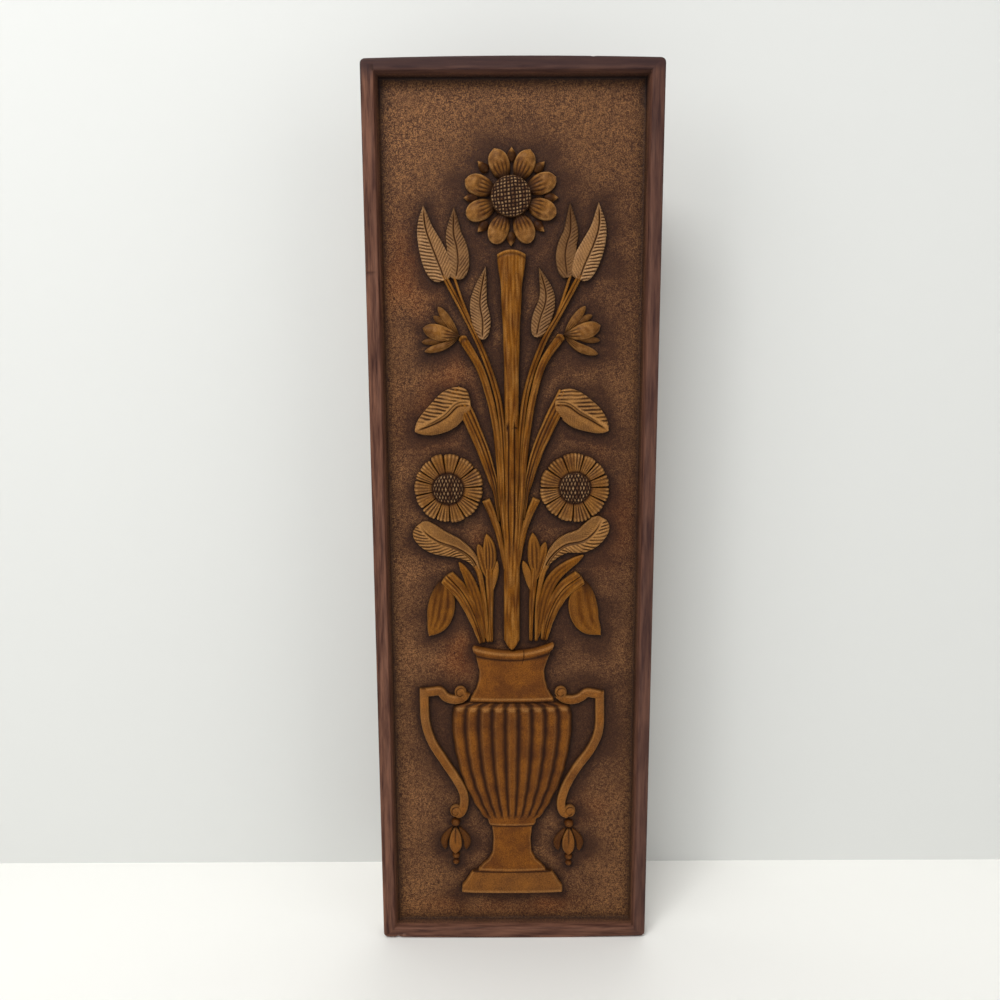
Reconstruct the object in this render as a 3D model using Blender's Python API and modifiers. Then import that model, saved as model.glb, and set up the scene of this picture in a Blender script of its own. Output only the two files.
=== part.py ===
"""A carved wooden wall plaque: an urn of flowers in relief on a sunk field inside a plain rim.

The front faces -Y, the back lies in the plane y = 0 and the origin is the middle of the back.
"""

import math

import bmesh
import bpy
from mathutils import Vector

# The board, in metres
board_width = 0.290
board_height = 0.918
board_thickness = 0.028
end_crown = 0.0018       # the two ends stand this much higher at their middle than at the corners
corner_radius = 0.0050   # seen from the front
edge_round = 0.0018      # worn arrises of the rim and the back
flat_angle = 0.001       # faces that turn by less are made one

# The rim and the sunk field inside it
rim_width = 0.0125
field_depth = 0.0130
wall_run = 0.0040        # how far the field's walls lean in from the rim to the foot

# Each carved form runs this far into the ground of the field, and the next one a hair further
relief_root = 0.0016
root_step = 0.00001

# The carving is drawn on squares that are a millimetre wide at the real size.
# x and z are counted from the middle of the board, heights are shares of the field's depth.
squares_across = 265
squares_up = 893
square_x = (board_width - 2 * rim_width) / squares_across
square_z = (board_height - 2 * rim_width) / squares_up

wood_colour = (0.105, 0.048, 0.021, 1.0)
wood_roughness = 0.45

# The tall flower at the top
crown_flower = {
    "centre": (-2, 333), "petal_count": 8, "disc_radius": 20, "disc_height": 0.80, "disc_brim": 0.72,
    "petal_inner": 17, "petal_outer": 46.5, "petal_half": 10.2, "petal_height": 0.56,
    "petal_fullness": (0.55, 0.42),
    "sepal_inner": 33, "sepal_outer": 46.5, "sepal_half": 4.6, "sepal_height": 0.36,
    "sepal_fullness": (0.9, 0.9),
}

# The two open daisies
daisies = {
    "left": {"centre": (-67.3, 44.8), "outer": 35.2, "disc": 15.6, "petal_count": 13},
    "right": {"centre": (63.2, 45.4), "outer": 35.4, "disc": 16.0, "petal_count": 12},
}
daisy_height = 0.50
daisy_disc_height = 0.72
daisy_brim = 0.86        # height at the edge, a share of that in the middle
daisy_disc_brim = 0.70
petal_ridge_count = 2    # along each daisy petal
ridge_height = 0.08
notch_depth = 0.07       # between two daisy petals, a share of the radius
notch_cut = 0.25         # and of the height

# Leaves: a midrib from foot to tip, then how far the blade reaches to the left and the right of it.
# fullness is (foot, tip): near 0.4 is round, near 1 runs to a point.
leaves = {
    "outer_leaf_left": {"rib": [(-68, 254), (-71.5, 264), (-80, 286), (-86, 304), (-88, 325)],
                        "reach": (15, 12), "fullness": (0.42, 0.95), "height": 0.50, "vein_count": 5},
    "outer_leaf_right": {"rib": [(66, 254), (70, 266), (80, 289), (84.5, 306), (84, 327)],
                         "reach": (13, 13), "fullness": (0.42, 0.95), "height": 0.50, "vein_count": 5},
    "inner_leaf_left": {"rib": [(-57, 255), (-54.5, 270), (-55.5, 285), (-58.5, 299), (-58, 323)],
                        "reach": (11, 11), "fullness": (0.45, 0.90), "height": 0.42, "vein_count": 4},
    "inner_leaf_right": {"rib": [(54, 256), (51.5, 275), (53, 288), (56.5, 301), (56, 327)],
                         "reach": (9, 11), "fullness": (0.45, 0.90), "height": 0.42, "vein_count": 4},
    "small_leaf_left": {"rib": [(-31, 196), (-30.5, 213), (-33, 229), (-32, 242), (-27, 267)],
                        "reach": (11, 8), "fullness": (0.40, 0.95), "height": 0.44, "vein_count": 4},
    "small_leaf_right": {"rib": [(23, 198), (27, 216), (32, 231), (32, 244), (25.5, 266)],
                         "reach": (8, 11), "fullness": (0.40, 0.95), "height": 0.44, "vein_count": 4},
    "broad_leaf_left": {"rib": [(-43.5, 130), (-56, 129), (-67, 119), (-80, 111.5), (-100, 104)],
                        "reach": (13.5, 21.5), "fullness": (0.34, 0.60), "height": 0.58, "vein_count": 5},
    "broad_leaf_right": {"rib": [(42.5, 130), (55, 129), (67, 121), (80, 114), (96.5, 104)],
                         "reach": (19, 15), "fullness": (0.34, 0.60), "height": 0.58, "vein_count": 5},
    "curled_leaf_left": {"rib": [(-36, -45), (-43, -29), (-58, -18), (-78, -10.5), (-90, -2.5), (-98, 7.5)],
                         "reach": (15, 13), "fullness": (1.10, 0.36), "height": 0.50, "vein_count": 5},
    "curled_leaf_right": {"rib": [(31, -45), (38, -28.5), (53, -15), (73, -10), (85, 0), (92.5, 13.5)],
                          "reach": (13.5, 13.5), "fullness": (1.10, 0.36), "height": 0.50, "vein_count": 5},
    "hidden_leaf_left": {"rib": [(-28, -118), (-33, -98), (-40, -70), (-48, -49), (-57, -33)],
                         "reach": (6, 6), "fullness": (0.60, 0.55), "height": 0.34, "vein_count": 0},
    "hidden_leaf_right": {"rib": [(25, -117), (28, -98), (34, -68), (44, -47), (66, -28)],
                          "reach": (6.5, 6.5), "fullness": (0.60, 0.55), "height": 0.34, "vein_count": 0},
    "drooping_leaf_left": {"rib": [(-71, -48), (-77, -66), (-80, -84), (-83, -98), (-90, -112)],
                           "reach": (15.5, 13.5), "fullness": (0.58, 0.60), "height": 0.40, "vein_count": 0},
    "drooping_leaf_right": {"rib": [(69, -48), (73, -66), (75.5, -84), (79.5, -98), (90, -111)],
                            "reach": (14, 16.5), "fullness": (0.58, 0.58), "height": 0.40, "vein_count": 0},
    "bud_left": {"rib": [(-26, -46), (-25, -31), (-25.5, -17), (-28, -3)],
                 "reach": (7, 7), "fullness": (0.60, 0.70), "height": 0.54, "vein_count": 0},
    "bud_right": {"rib": [(23, -46), (22, -32), (21.5, -18), (20, -2)],
                  "reach": (7, 7), "fullness": (0.60, 0.70), "height": 0.54, "vein_count": 0},
    "bud_outer_left": {"rib": [(-27, -52), (-32, -35), (-35, -25), (-37.5, -15)],
                       "reach": (4, 4), "fullness": (0.70, 0.60), "height": 0.44, "vein_count": 0},
    "bud_outer_right": {"rib": [(24, -52), (29, -35), (32, -24), (33.5, -12.5)],
                        "reach": (4, 4), "fullness": (0.70, 0.60), "height": 0.44, "vein_count": 0},
    "bud_inner_left": {"rib": [(-23, -66), (-20.5, -52), (-18.5, -42), (-17, -33)],
                       "reach": (3, 3), "fullness": (0.70, 0.60), "height": 0.40, "vein_count": 0},
    "bud_inner_right": {"rib": [(19.5, -66), (16, -50), (13, -41), (10.5, -33)],
                        "reach": (3.4, 3.4), "fullness": (0.70, 0.60), "height": 0.40, "vein_count": 0},
}

narrow_blade = 13.2      # a blade under this width has no midrib groove
blunt_end = 0.004        # a blade is a little open at its foot and tip, a share of its length

# Lily petals, as leaves without veins
lily_petals = {
    "left": [
        {"rib": [(-62, 206), (-71, 213), (-80, 219)], "reach": 3.4, "height": 0.30},
        {"rib": [(-64, 197), (-78, 194.5), (-92, 193.5)], "reach": 3.4, "height": 0.30},
        {"rib": [(-54, 198), (-63, 211), (-75, 228)], "reach": 5.0, "height": 0.46},
        {"rib": [(-54, 198), (-69, 190), (-89, 184)], "reach": 5.0, "height": 0.46},
        {"rib": [(-53, 199), (-70, 201.5), (-90, 207)], "reach": 8.2, "height": 0.56},
    ],
    "right": [
        {"rib": [(60, 207), (69, 214), (79, 219.5)], "reach": 3.4, "height": 0.30},
        {"rib": [(62, 197), (75, 195.5), (87, 194.5)], "reach": 3.4, "height": 0.30},
        {"rib": [(51, 199), (59, 211), (72, 228)], "reach": 5.0, "height": 0.46},
        {"rib": [(51, 199), (66, 188), (85, 181)], "reach": 5.4, "height": 0.46},
        {"rib": [(50, 200), (67, 202.5), (87, 209)], "reach": 8.4, "height": 0.56},
    ],
}

# Stems: a middle line from foot to top, evenly spaced half widths along it, heights at foot
# and top, and how many grooves are cut along them
stems = {
    "main_stem": {"line": [(-2, -128), (-1.9, -60), (-1.9, 10), (-1.7, 100), (-1.8, 190), (-1.8, 245),
                           (-1.6, 282)],
                  "half": (8.2, 8.2, 8.2, 8.0, 7.4, 7.0, 7.0, 7.3, 8.3, 10.2, 14.2), "height": (0.62, 0.66),
                  "groove_count": 0},
    "long_stem_left": {"line": [(-5, -20), (-8.4, 30), (-9.6, 70), (-12, 115), (-18, 147), (-32, 186),
                                (-50, 223), (-69, 259)],
                       "half": (1.0, 2.4, 3.2, 3.2, 3.0, 2.8, 2.8), "height": (0.50, 0.42), "groove_count": 1},
    "long_stem_right": {"line": [(1.5, -20), (4.6, 30), (6.2, 70), (9, 115), (15, 150), (29, 190), (47, 222),
                                 (67, 259)],
                        "half": (1.0, 2.4, 3.2, 3.2, 3.0, 2.8, 2.8), "height": (0.50, 0.42), "groove_count": 1},
    "thin_stem_left": {"line": [(-42, 212), (-51, 234), (-59, 258)],
                       "half": (1.5, 1.4), "height": (0.34, 0.34), "groove_count": 0},
    "thin_stem_right": {"line": [(42, 214), (50, 236), (57, 258)],
                        "half": (1.5, 1.4), "height": (0.34, 0.34), "groove_count": 0},
    "lily_stem_left": {"line": [(-8, -20), (-12.6, 30), (-14, 66), (-17.5, 105), (-24, 138), (-34, 168),
                                (-52, 199)],
                       "half": (1.0, 2.6, 3.3, 3.4, 3.6, 3.8, 4.3), "height": (0.46, 0.50), "groove_count": 0},
    "lily_stem_right": {"line": [(4.5, -20), (9, 30), (10.5, 66), (14.5, 105), (20, 138), (30, 172), (49, 200)],
                        "half": (1.0, 2.4, 3.1, 3.4, 3.6, 3.8, 4.3), "height": (0.46, 0.50), "groove_count": 0},
    "leaf_fold_left": {"line": [(-15, 10), (-18.3, 40), (-22.6, 58), (-31, 84), (-40, 106), (-48, 124),
                                (-61, 146)],
                       "half": (1.0, 2.0, 5.0, 6.0, 6.5, 7.0, 7.0), "height": (0.52, 0.44), "groove_count": 2},
    "leaf_fold_right": {"line": [(11, 12), (13.8, 40), (17.8, 60), (25, 84), (35.5, 108), (43, 124), (53, 143)],
                        "half": (1.0, 2.0, 4.6, 5.8, 6.5, 7.0, 7.0), "height": (0.52, 0.44), "groove_count": 2},
    "short_stem_left": {"line": [(-9, -42), (-11.5, -22), (-15.5, -2), (-22, 18), (-28.5, 33)],
                        "half": (1.2, 2.6, 3.4, 3.8, 4.2), "height": (0.48, 0.46), "groove_count": 0},
    "short_stem_right": {"line": [(4.5, -42), (6.8, -22), (9.8, -4), (15, 14), (24, 34)],
                         "half": (1.2, 2.6, 3.4, 3.8, 4.2), "height": (0.48, 0.46), "groove_count": 0},
    "curl_stalk_left": {"line": [(-27, -120), (-30, -80), (-35, -48), (-40, -36)],
                        "half": (1.8, 3.0), "height": (0.46, 0.46), "groove_count": 0},
    "curl_stalk_right": {"line": [(24, -119), (25, -80), (30, -48), (35, -36)],
                         "half": (1.8, 3.0), "height": (0.46, 0.46), "groove_count": 0},
    "bud_stalk_left": {"line": [(-24, -120), (-24.5, -85), (-25.5, -38)],
                       "half": (2.2, 4.4), "height": (0.42, 0.48), "groove_count": 0},
    "bud_stalk_right": {"line": [(18.2, -119), (19, -85), (22, -38)],
                        "half": (1.8, 4.0), "height": (0.42, 0.48), "groove_count": 0},
    "folded_leaf_left": {"line": [(-33, -121), (-39, -100), (-47, -80), (-57, -63), (-71, -47)],
                         "half": (4.0, 7.6), "height": (0.44, 0.52), "groove_count": 2},
    "folded_leaf_right": {"line": [(32, -118), (36, -98), (43, -79), (53, -62), (69, -47)],
                          "half": (4.0, 7.6), "height": (0.44, 0.52), "groove_count": 2},
}

groove_depth = 0.16      # in a stem, a share of its height
edge_fall = 0.30         # of a stem or a blade, from its crest to its edge
end_fall = 0.20          # of a blade, at its foot and tip
midrib_depth = 0.22      # in a blade
vein_depth = 0.05
vein_lean = 0.5          # how far the veins run on towards the tip

# The urn from lip to base: z, half width, height in the middle, height at the side, flute depth.
urn_axis = -2
urn_flute_count = 9
urn_roundness = 0.6      # near 0.5 is a round section, near 1 a flatter one
neck_columns = 6         # the plain lengths need fewer faces across than the fluted one
foot_columns = 4
urn_profile = [
    (-129.5, 42.0, 0.60, 0.42, 0), (-131.5, 43.5, 0.72, 0.52, 0), (-135.5, 42.5, 0.74, 0.52, 0),
    (-138.0, 40.0, 0.56, 0.38, 0), (-144.0, 36.4, 0.56, 0.36, 0), (-152.0, 34.6, 0.56, 0.36, 0),
    (-161.0, 35.2, 0.58, 0.36, 0), (-170.0, 37.6, 0.62, 0.38, 0), (-178.0, 41.5, 0.66, 0.40, 0),
    (-181.5, 44.0, 0.70, 0.42, 0), (-184.0, 44.5, 0.68, 0.40, 0), (-186.5, 46.0, 0.50, 0.30, 0),
    (-190.0, 60.0, 0.66, 0.34, 0.03), (-193.5, 63.0, 0.78, 0.42, 0.08), (-201.0, 64.6, 0.84, 0.44, 0.12),
    (-218.0, 64.8, 0.86, 0.44, 0.12), (-240.0, 62.3, 0.86, 0.44, 0.12), (-260.0, 58.2, 0.84, 0.43, 0.12),
    (-280.0, 52.2, 0.79, 0.42, 0.12), (-300.0, 43.0, 0.70, 0.40, 0.10), (-315.0, 34.5, 0.60, 0.34, 0.08),
    (-319.0, 31.5, 0.52, 0.30, 0.04),
    (-321.0, 26.5, 0.56, 0.34, 0), (-325.0, 26.0, 0.60, 0.36, 0), (-327.5, 25.0, 0.58, 0.36, 0),
    (-330.0, 22.0, 0.46, 0.30, 0), (-345.0, 20.6, 0.48, 0.30, 0), (-360.0, 21.4, 0.50, 0.32, 0),
    (-369.0, 25.6, 0.54, 0.34, 0), (-376.0, 33.0, 0.58, 0.36, 0), (-380.5, 36.8, 0.60, 0.38, 0),
    (-382.5, 36.8, 0.56, 0.34, 0), (-384.0, 44.0, 0.48, 0.32, 0), (-387.5, 46.5, 0.56, 0.38, 0),
    (-394.0, 50.5, 0.66, 0.46, 0), (-401.0, 55.5, 0.74, 0.54, 0), (-407.5, 56.0, 0.74, 0.54, 0),
]
lip_foot = -137          # what is above this turns up towards its ends
lip_rise = (5.5, 9.0)    # by so much at the left and at the right
lip_shift = 1.5          # the lip stands this far to the right of the urn's axis

# Handles: a stepped top bar that ends in a scroll by the neck, and a long sweep to a lower scroll
handles = {
    "left": {
        "bar": [(-97, -176), (-88, -175), (-79, -174.5), (-73, -181), (-64, -184), (-55, -182), (-50.5, -175)],
        "sweep": [(-96, -171), (-96, -190), (-95, -210), (-89, -231), (-77, -252), (-64, -273),
                  (-55.5, -290), (-54.5, -304), (-58, -314), (-64, -316)],
        "upper_eye": (-56.5, -174), "lower_eye": (-63.5, -311),
    },
    "right": {
        "bar": [(93, -179.5), (85, -177.5), (78, -177), (72, -181.5), (64, -184.5), (55, -183.5), (47.5, -178)],
        "sweep": [(92, -175), (92.5, -195), (92.5, -212), (90, -226), (82, -243), (68.5, -262),
                  (58, -281), (52, -300), (53.5, -313), (60.5, -317)],
        "upper_eye": (50, -175.6), "lower_eye": (61, -311.5),
    },
}
handle_half = 4.8
handle_height = 0.50
handle_fall = 0.35       # from the handle's crest to its edge
scroll_radius = 6.4
scroll_height = 0.60
bead_brim = 0.5          # of the scrolls and the tassels' beads

# Tassels under the lower scrolls: beads, and three hanging petals
tassels = {
    "left": {"axis": -64, "top": -326},
    "right": {"axis": 60.5, "top": -328},
}
tassel_beads = [(0.0, 5.0, 0.42), (-39.5, 4.3, 0.36), (-47.5, 3.8, 0.30)]   # drop, radius, height
tassel_petals = [(-12.4, 0.32, 3.8), (12.0, 0.32, 3.8), (-0.4, 0.46, 6.9)]  # side step, height, half width
petal_drop = (-6.0, -35.0)
petal_fullness = (0.7, 0.4)
petal_spread = (0.3, 0.95)  # of the side step, at a petal's foot and its tip
petal_lift = 0.3         # of a side petal's tip, a share of its side step


def make_collection(name, shown):
    """A collection; a hidden one holds shapes that only cut or join."""
    collection = bpy.data.collections.new(name)
    bpy.context.scene.collection.children.link(collection)
    collection.hide_render = not shown
    return collection


def make_wood():
    """Dark stained wood with a satin finish."""
    wood = bpy.data.materials.new("stained_wood")
    wood.use_nodes = True
    surface = wood.node_tree.nodes["Principled BSDF"]
    surface.inputs["Base Color"].default_value = wood_colour
    surface.inputs["Roughness"].default_value = wood_roughness
    surface.inputs["Metallic"].default_value = 0.0
    return wood


def place(x, z, height):
    """A point of the carving: squares across and up, and a share of the field's depth above the ground."""
    ground = -(board_thickness - field_depth)
    return Vector((x * square_x, ground - height * field_depth, z * square_z))


def follow(guide):
    """A function of 0 to 1 that runs evenly along a smooth curve through the guide points."""
    steps = 12
    points = [Vector(point) for point in guide]
    ends = [2 * points[0] - points[1]] + points + [2 * points[-1] - points[-2]]
    fine = []
    for before, start, end, after in zip(ends, ends[1:], ends[2:], ends[3:]):
        for step in range(steps):
            share = step / steps
            turn_in = (end - before) / 2
            turn_out = (after - start) / 2
            across = end - start
            fine.append(start + share * turn_in
                        + share ** 2 * (3 * across - 2 * turn_in - turn_out)
                        + share ** 3 * (turn_in + turn_out - 2 * across))
    fine.append(points[-1])
    reached = [0.0]
    for one, two in zip(fine, fine[1:]):
        reached.append(reached[-1] + (two - one).length)

    def spot(share):
        """The point there, and the unit step to the right of the way along."""
        wanted = min(max(share, 0.0), 1.0) * reached[-1]
        part = 1
        while part < len(fine) - 1 and reached[part] < wanted:
            part += 1
        along = (fine[part] - fine[part - 1]).normalized()
        point = fine[part - 1] + along * (wanted - reached[part - 1])
        return point, Vector((along.y, -along.x))

    return spot


def swell(share, foot, tip):
    """Half width of a leaf, from a blunt foot to 1 at its widest to a blunt tip."""
    peak = foot / (foot + tip)
    share = min(max(share, blunt_end), 1 - blunt_end)
    return (share / peak) ** foot * ((1 - share) / (1 - peak)) ** tip


def close_behind(form, root):
    """Gives an open carved surface its sides and a flat bottom inside the board."""
    bottom = -(board_thickness - field_depth) + root
    grown = bmesh.ops.extrude_face_region(form, geom=form.faces[:], use_keep_orig=True)
    for item in grown["geom"]:
        if isinstance(item, bmesh.types.BMVert):
            item.co.y = bottom
    bmesh.ops.recalc_face_normals(form, faces=form.faces[:])


def add_form(carving, name, form):
    """One carved form, as an object that is only there to be joined to the board."""
    mesh = bpy.data.meshes.new(name)
    close_behind(form, relief_root + root_step * len(carving.objects))
    form.to_mesh(mesh)
    form.free()
    shape = bpy.data.objects.new(name, mesh)
    shape.display_type = "WIRE"
    shape.hide_render = True
    carving.objects.link(shape)


def carve_strip(carving, name, guide, reach, height, across, along, lean=0.0):
    """A form along a smooth line: reach(share) is its left and right half width, and
    height(share, side) its height, with side from -1 at the left edge to 1 at the right."""
    form = bmesh.new()
    bmesh.ops.create_grid(form, x_segments=across, y_segments=along, size=1.0)
    spot = follow(guide)
    for corner in form.verts:
        side = corner.co.x
        share = (corner.co.y + 1) / 2
        share += lean * abs(side) * share * (1 - share)
        point, right = spot(share)
        left_reach, right_reach = reach(share)
        point += right * side * (right_reach if side > 0 else left_reach)
        corner.co = place(point.x, point.y, height(share, side))
    add_form(carving, name, form)


def carve_dome(carving, name, centre, radius, height, brim, segments, rings=2, ripple=None):
    """A round form: brim is the share of its height at its edge. ripple(turn, out) gives a
    factor on the radius and one on the height."""
    form = bmesh.new()
    profile = []
    for ring in range(rings + 1):
        out = ring / rings
        profile.append(form.verts.new((out, brim + (1 - brim) * math.sqrt(max(0.0, 1 - out ** 2)), 0)))
    edges = [form.edges.new(pair) for pair in zip(profile, profile[1:])]
    bmesh.ops.spin(form, geom=profile + edges, cent=(0, 0, 0), axis=(0, 1, 0), angle=2 * math.pi,
                   steps=segments, use_merge=True, use_duplicate=False)
    bmesh.ops.remove_doubles(form, verts=form.verts[:], dist=0.0001)
    for corner in form.verts:
        out = math.hypot(corner.co.x, corner.co.z)
        turn = math.atan2(corner.co.x, corner.co.z)
        wider, higher = ripple(turn, out) if ripple else (1.0, 1.0)
        corner.co = place(centre[0] + radius * wider * corner.co.x,
                          centre[1] + radius * wider * corner.co.z,
                          height * higher * corner.co.y)
    add_form(carving, name, form)


def leaf_height(top, veins):
    """Low at the midrib, the margin and both ends, and stepped by the veins between them."""
    def height(share, side):
        out = abs(side)
        rise = 1 - midrib_depth * (1 - out) ** 4 - edge_fall * out ** 3
        vein = vein_depth * math.cos(2 * math.pi * veins * share) if veins and out > 0 else 0.0
        return top * (rise + vein) * (1 - end_fall * (1 - math.sin(math.pi * share)))
    return height


def carve_leaves(carving):
    for name, leaf in leaves.items():
        left, right = leaf["reach"]
        foot, tip = leaf["fullness"]
        veins = leaf["vein_count"]
        narrow = left + right < narrow_blade
        carve_strip(carving, name, leaf["rib"],
                    lambda share: (left * swell(share, foot, tip), right * swell(share, foot, tip)),
                    leaf_height(leaf["height"], veins), across=2 if narrow else 4,
                    along=max(5, 2 * veins), lean=vein_lean if veins else 0.0)


def carve_lilies(carving):
    for side, petals in lily_petals.items():
        for count, petal in enumerate(petals):
            reach = petal["reach"]
            carve_strip(carving, f"lily_petal_{side}_{count + 1}", petal["rib"],
                        lambda share: (reach * swell(share, 0.5, 0.6),) * 2,
                        leaf_height(petal["height"], 0), across=2 if 2 * reach < narrow_blade else 4,
                        along=4)


def between(values, share):
    """A value read between evenly spaced ones."""
    place_in_list = share * (len(values) - 1)
    first = min(int(place_in_list), len(values) - 2)
    return values[first] + (values[first + 1] - values[first]) * (place_in_list - first)


def carve_stems(carving):
    for name, stem in stems.items():
        ridges = stem["groove_count"] + 1

        def reach(share):
            return (between(stem["half"], share),) * 2

        def height(share, side):
            groove = math.cos(math.pi * ridges * (side + 1) / 2) ** 2 if ridges > 1 else 0.0
            fall = groove_depth * groove + edge_fall * abs(side) ** 3
            return between(stem["height"], share) * (1 - fall)

        carve_strip(carving, name, stem["line"], reach, height, across=2 * ridges if ridges > 1 else 3,
                    along=3 * (len(stem["line"]) - 1) // 2)


def carve_crown_flower(carving):
    flower = crown_flower
    centre = Vector(flower["centre"])
    turn = 2 * math.pi / flower["petal_count"]
    for name, shift in (("sepal", 0.0), ("petal", 0.5)):
        foot, tip = flower[f"{name}_fullness"]
        half = flower[f"{name}_half"]
        broad = 2 * half > narrow_blade
        for count in range(flower["petal_count"]):
            angle = turn * (count + shift)
            way = Vector((math.sin(angle), math.cos(angle)))
            guide = [centre + way * flower[f"{name}_inner"], centre + way * flower[f"{name}_outer"]]
            carve_strip(carving, f"crown_{name}_{count + 1}", guide,
                        lambda share: (half * swell(share, foot, tip),) * 2,
                        leaf_height(flower[f"{name}_height"], 0),
                        across=4 if broad else 2, along=4 if broad else 3)
    carve_dome(carving, "crown_disc", centre, flower["disc_radius"], flower["disc_height"],
               flower["disc_brim"], segments=18)


def carve_daisies(carving):
    corners = 2 * petal_ridge_count
    for side, daisy in daisies.items():
        segments = daisy["petal_count"] * corners

        def ripple(turn, out):
            """Each petal is notched from the next at its end and has ridges along it."""
            across = round(turn / (2 * math.pi) * segments) % corners
            notch = out if across == 0 else 0.0
            ridge = ridge_height * out * (1 if across % 2 else -1)
            return 1 - notch_depth * notch, 1 + ridge - notch_cut * notch

        carve_dome(carving, f"daisy_{side}", daisy["centre"], daisy["outer"], daisy_height, daisy_brim,
                   segments=segments, ripple=ripple)
        carve_dome(carving, f"daisy_disc_{side}", daisy["centre"], daisy["disc"], daisy_disc_height,
                   daisy_disc_brim, segments=14)


def carve_urn(carving):
    """Three lengths of the urn: only the fluted one needs many columns."""
    fluted = [count for count, row in enumerate(urn_profile) if row[4] > 0]
    lengths = {
        "urn_neck": (urn_profile[:fluted[0]], neck_columns),
        "urn_body": (urn_profile[fluted[0] - 1:fluted[-1] + 2], 3 * urn_flute_count),
        "urn_foot": (urn_profile[fluted[-1] + 1:], foot_columns),
    }
    for name, (profile, columns) in lengths.items():
        form = bmesh.new()
        rows = len(profile) - 1
        bmesh.ops.create_grid(form, x_segments=columns, y_segments=rows, size=1.0)
        for corner in form.verts:
            side = corner.co.x
            z, half, middle, edge, flute = profile[round((1 - corner.co.y) / 2 * rows)]
            valley = abs(math.cos(math.pi * urn_flute_count * (side + 1) / 2)) ** 3
            height = edge + (middle - edge) * (1 - side ** 2) ** urn_roundness - flute * valley
            x = urn_axis + half * side
            if z > lip_foot:
                x += lip_shift
                z += lip_rise[side > 0] * side ** 2
            corner.co = place(x, z, height)
        add_form(carving, name, form)


def carve_handles(carving):
    def reach(share):
        return handle_half, handle_half

    def height(share, side):
        return handle_height * (1 - handle_fall * side ** 2)

    for side, handle in handles.items():
        for part in ("bar", "sweep"):
            carve_strip(carving, f"handle_{part}_{side}", handle[part], reach, height, across=3,
                        along=3 * len(handle[part]) // 2)
        for part in ("upper_eye", "lower_eye"):
            carve_dome(carving, f"handle_{part}_{side}", handle[part], scroll_radius, scroll_height,
                       bead_brim, segments=8)


def carve_tassels(carving):
    for side, tassel in tassels.items():
        axis = tassel["axis"]
        top = tassel["top"]
        for count, (step, height, half) in enumerate(tassel_petals):
            guide = [(axis + petal_spread[0] * step, top + petal_drop[0]),
                     (axis + step, top + sum(petal_drop) / 2),
                     (axis + petal_spread[1] * step, top + petal_drop[1] + petal_lift * abs(step))]
            carve_strip(carving, f"tassel_petal_{side}_{count + 1}", guide,
                        lambda share: (half * swell(share, *petal_fullness),) * 2,
                        leaf_height(height, 0), across=2, along=4)
        for count, (drop, radius, height) in enumerate(tassel_beads):
            carve_dome(carving, f"tassel_bead_{side}_{count + 1}", (axis, top + drop), radius, height,
                       bead_brim, segments=6)


def board_outline():
    """The board from the front: straight sides, round corners and slightly crowned ends."""
    half_width = board_width / 2
    corner_height = board_height / 2 - end_crown
    turns = 3
    crown_steps = 6
    quarter = []
    for step in range(turns + 1):
        angle = math.pi / 2 * step / turns
        quarter.append((half_width - corner_radius * (1 - math.cos(angle)),
                        corner_height - corner_radius * (1 - math.sin(angle))))
    flat = half_width - corner_radius
    crown = []
    for step in range(1, crown_steps):
        x = flat * (1 - 2 * step / crown_steps)
        crown.append((x, corner_height + end_crown * (1 - (x / flat) ** 2)))
    top = quarter + crown + [(-x, z) for x, z in reversed(quarter)]
    return top + [(-x, -z) for x, z in top]


def make_board_blank():
    """The flat board, from its outline as a filled curve."""
    curve = bpy.data.curves.new("board_outline", "CURVE")
    curve.dimensions = "2D"
    curve.fill_mode = "BOTH"
    curve.extrude = board_thickness / 2
    outline = board_outline()
    line = curve.splines.new("POLY")
    line.points.add(len(outline) - 1)
    line.use_cyclic_u = True
    for point, (x, z) in zip(line.points, outline):
        point.co = (x, z, 0, 1)
    flat = bpy.data.objects.new("board_outline", curve)
    bpy.context.scene.collection.objects.link(flat)
    flat.rotation_euler = (math.pi / 2, 0, 0)
    flat.location = (0, -board_thickness / 2, 0)
    bpy.context.view_layer.update()
    mesh = bpy.data.meshes.new_from_object(flat.evaluated_get(bpy.context.evaluated_depsgraph_get()))
    mesh.transform(flat.matrix_world)
    bpy.data.objects.remove(flat)
    blank = bmesh.new()
    blank.from_mesh(mesh)
    bmesh.ops.remove_doubles(blank, verts=blank.verts[:], dist=0.00001)
    bmesh.ops.dissolve_limit(blank, angle_limit=flat_angle, verts=blank.verts[:], edges=blank.edges[:])
    bmesh.ops.recalc_face_normals(blank, faces=blank.faces[:])
    blank.to_mesh(mesh)
    blank.free()
    return mesh


def make_field_cutter(cutters):
    """The sunk field: a block whose walls lean in towards the ground."""
    form = bmesh.new()
    bmesh.ops.create_cube(form, size=2.0)
    ground = -(board_thickness - field_depth)
    clear = -board_thickness - field_depth
    for corner in form.verts:
        lean = wall_run if corner.co.y > 0 else -wall_run
        corner.co = ((board_width / 2 - rim_width - lean) * corner.co.x,
                     ground if corner.co.y > 0 else clear,
                     (board_height / 2 - end_crown - rim_width - lean) * corner.co.z)
    bmesh.ops.recalc_face_normals(form, faces=form.faces[:])
    mesh = bpy.data.meshes.new("field_cutter")
    form.to_mesh(mesh)
    form.free()
    cutter = bpy.data.objects.new("field_cutter", mesh)
    cutter.display_type = "WIRE"
    cutter.hide_render = True
    cutters.objects.link(cutter)
    return cutter


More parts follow.
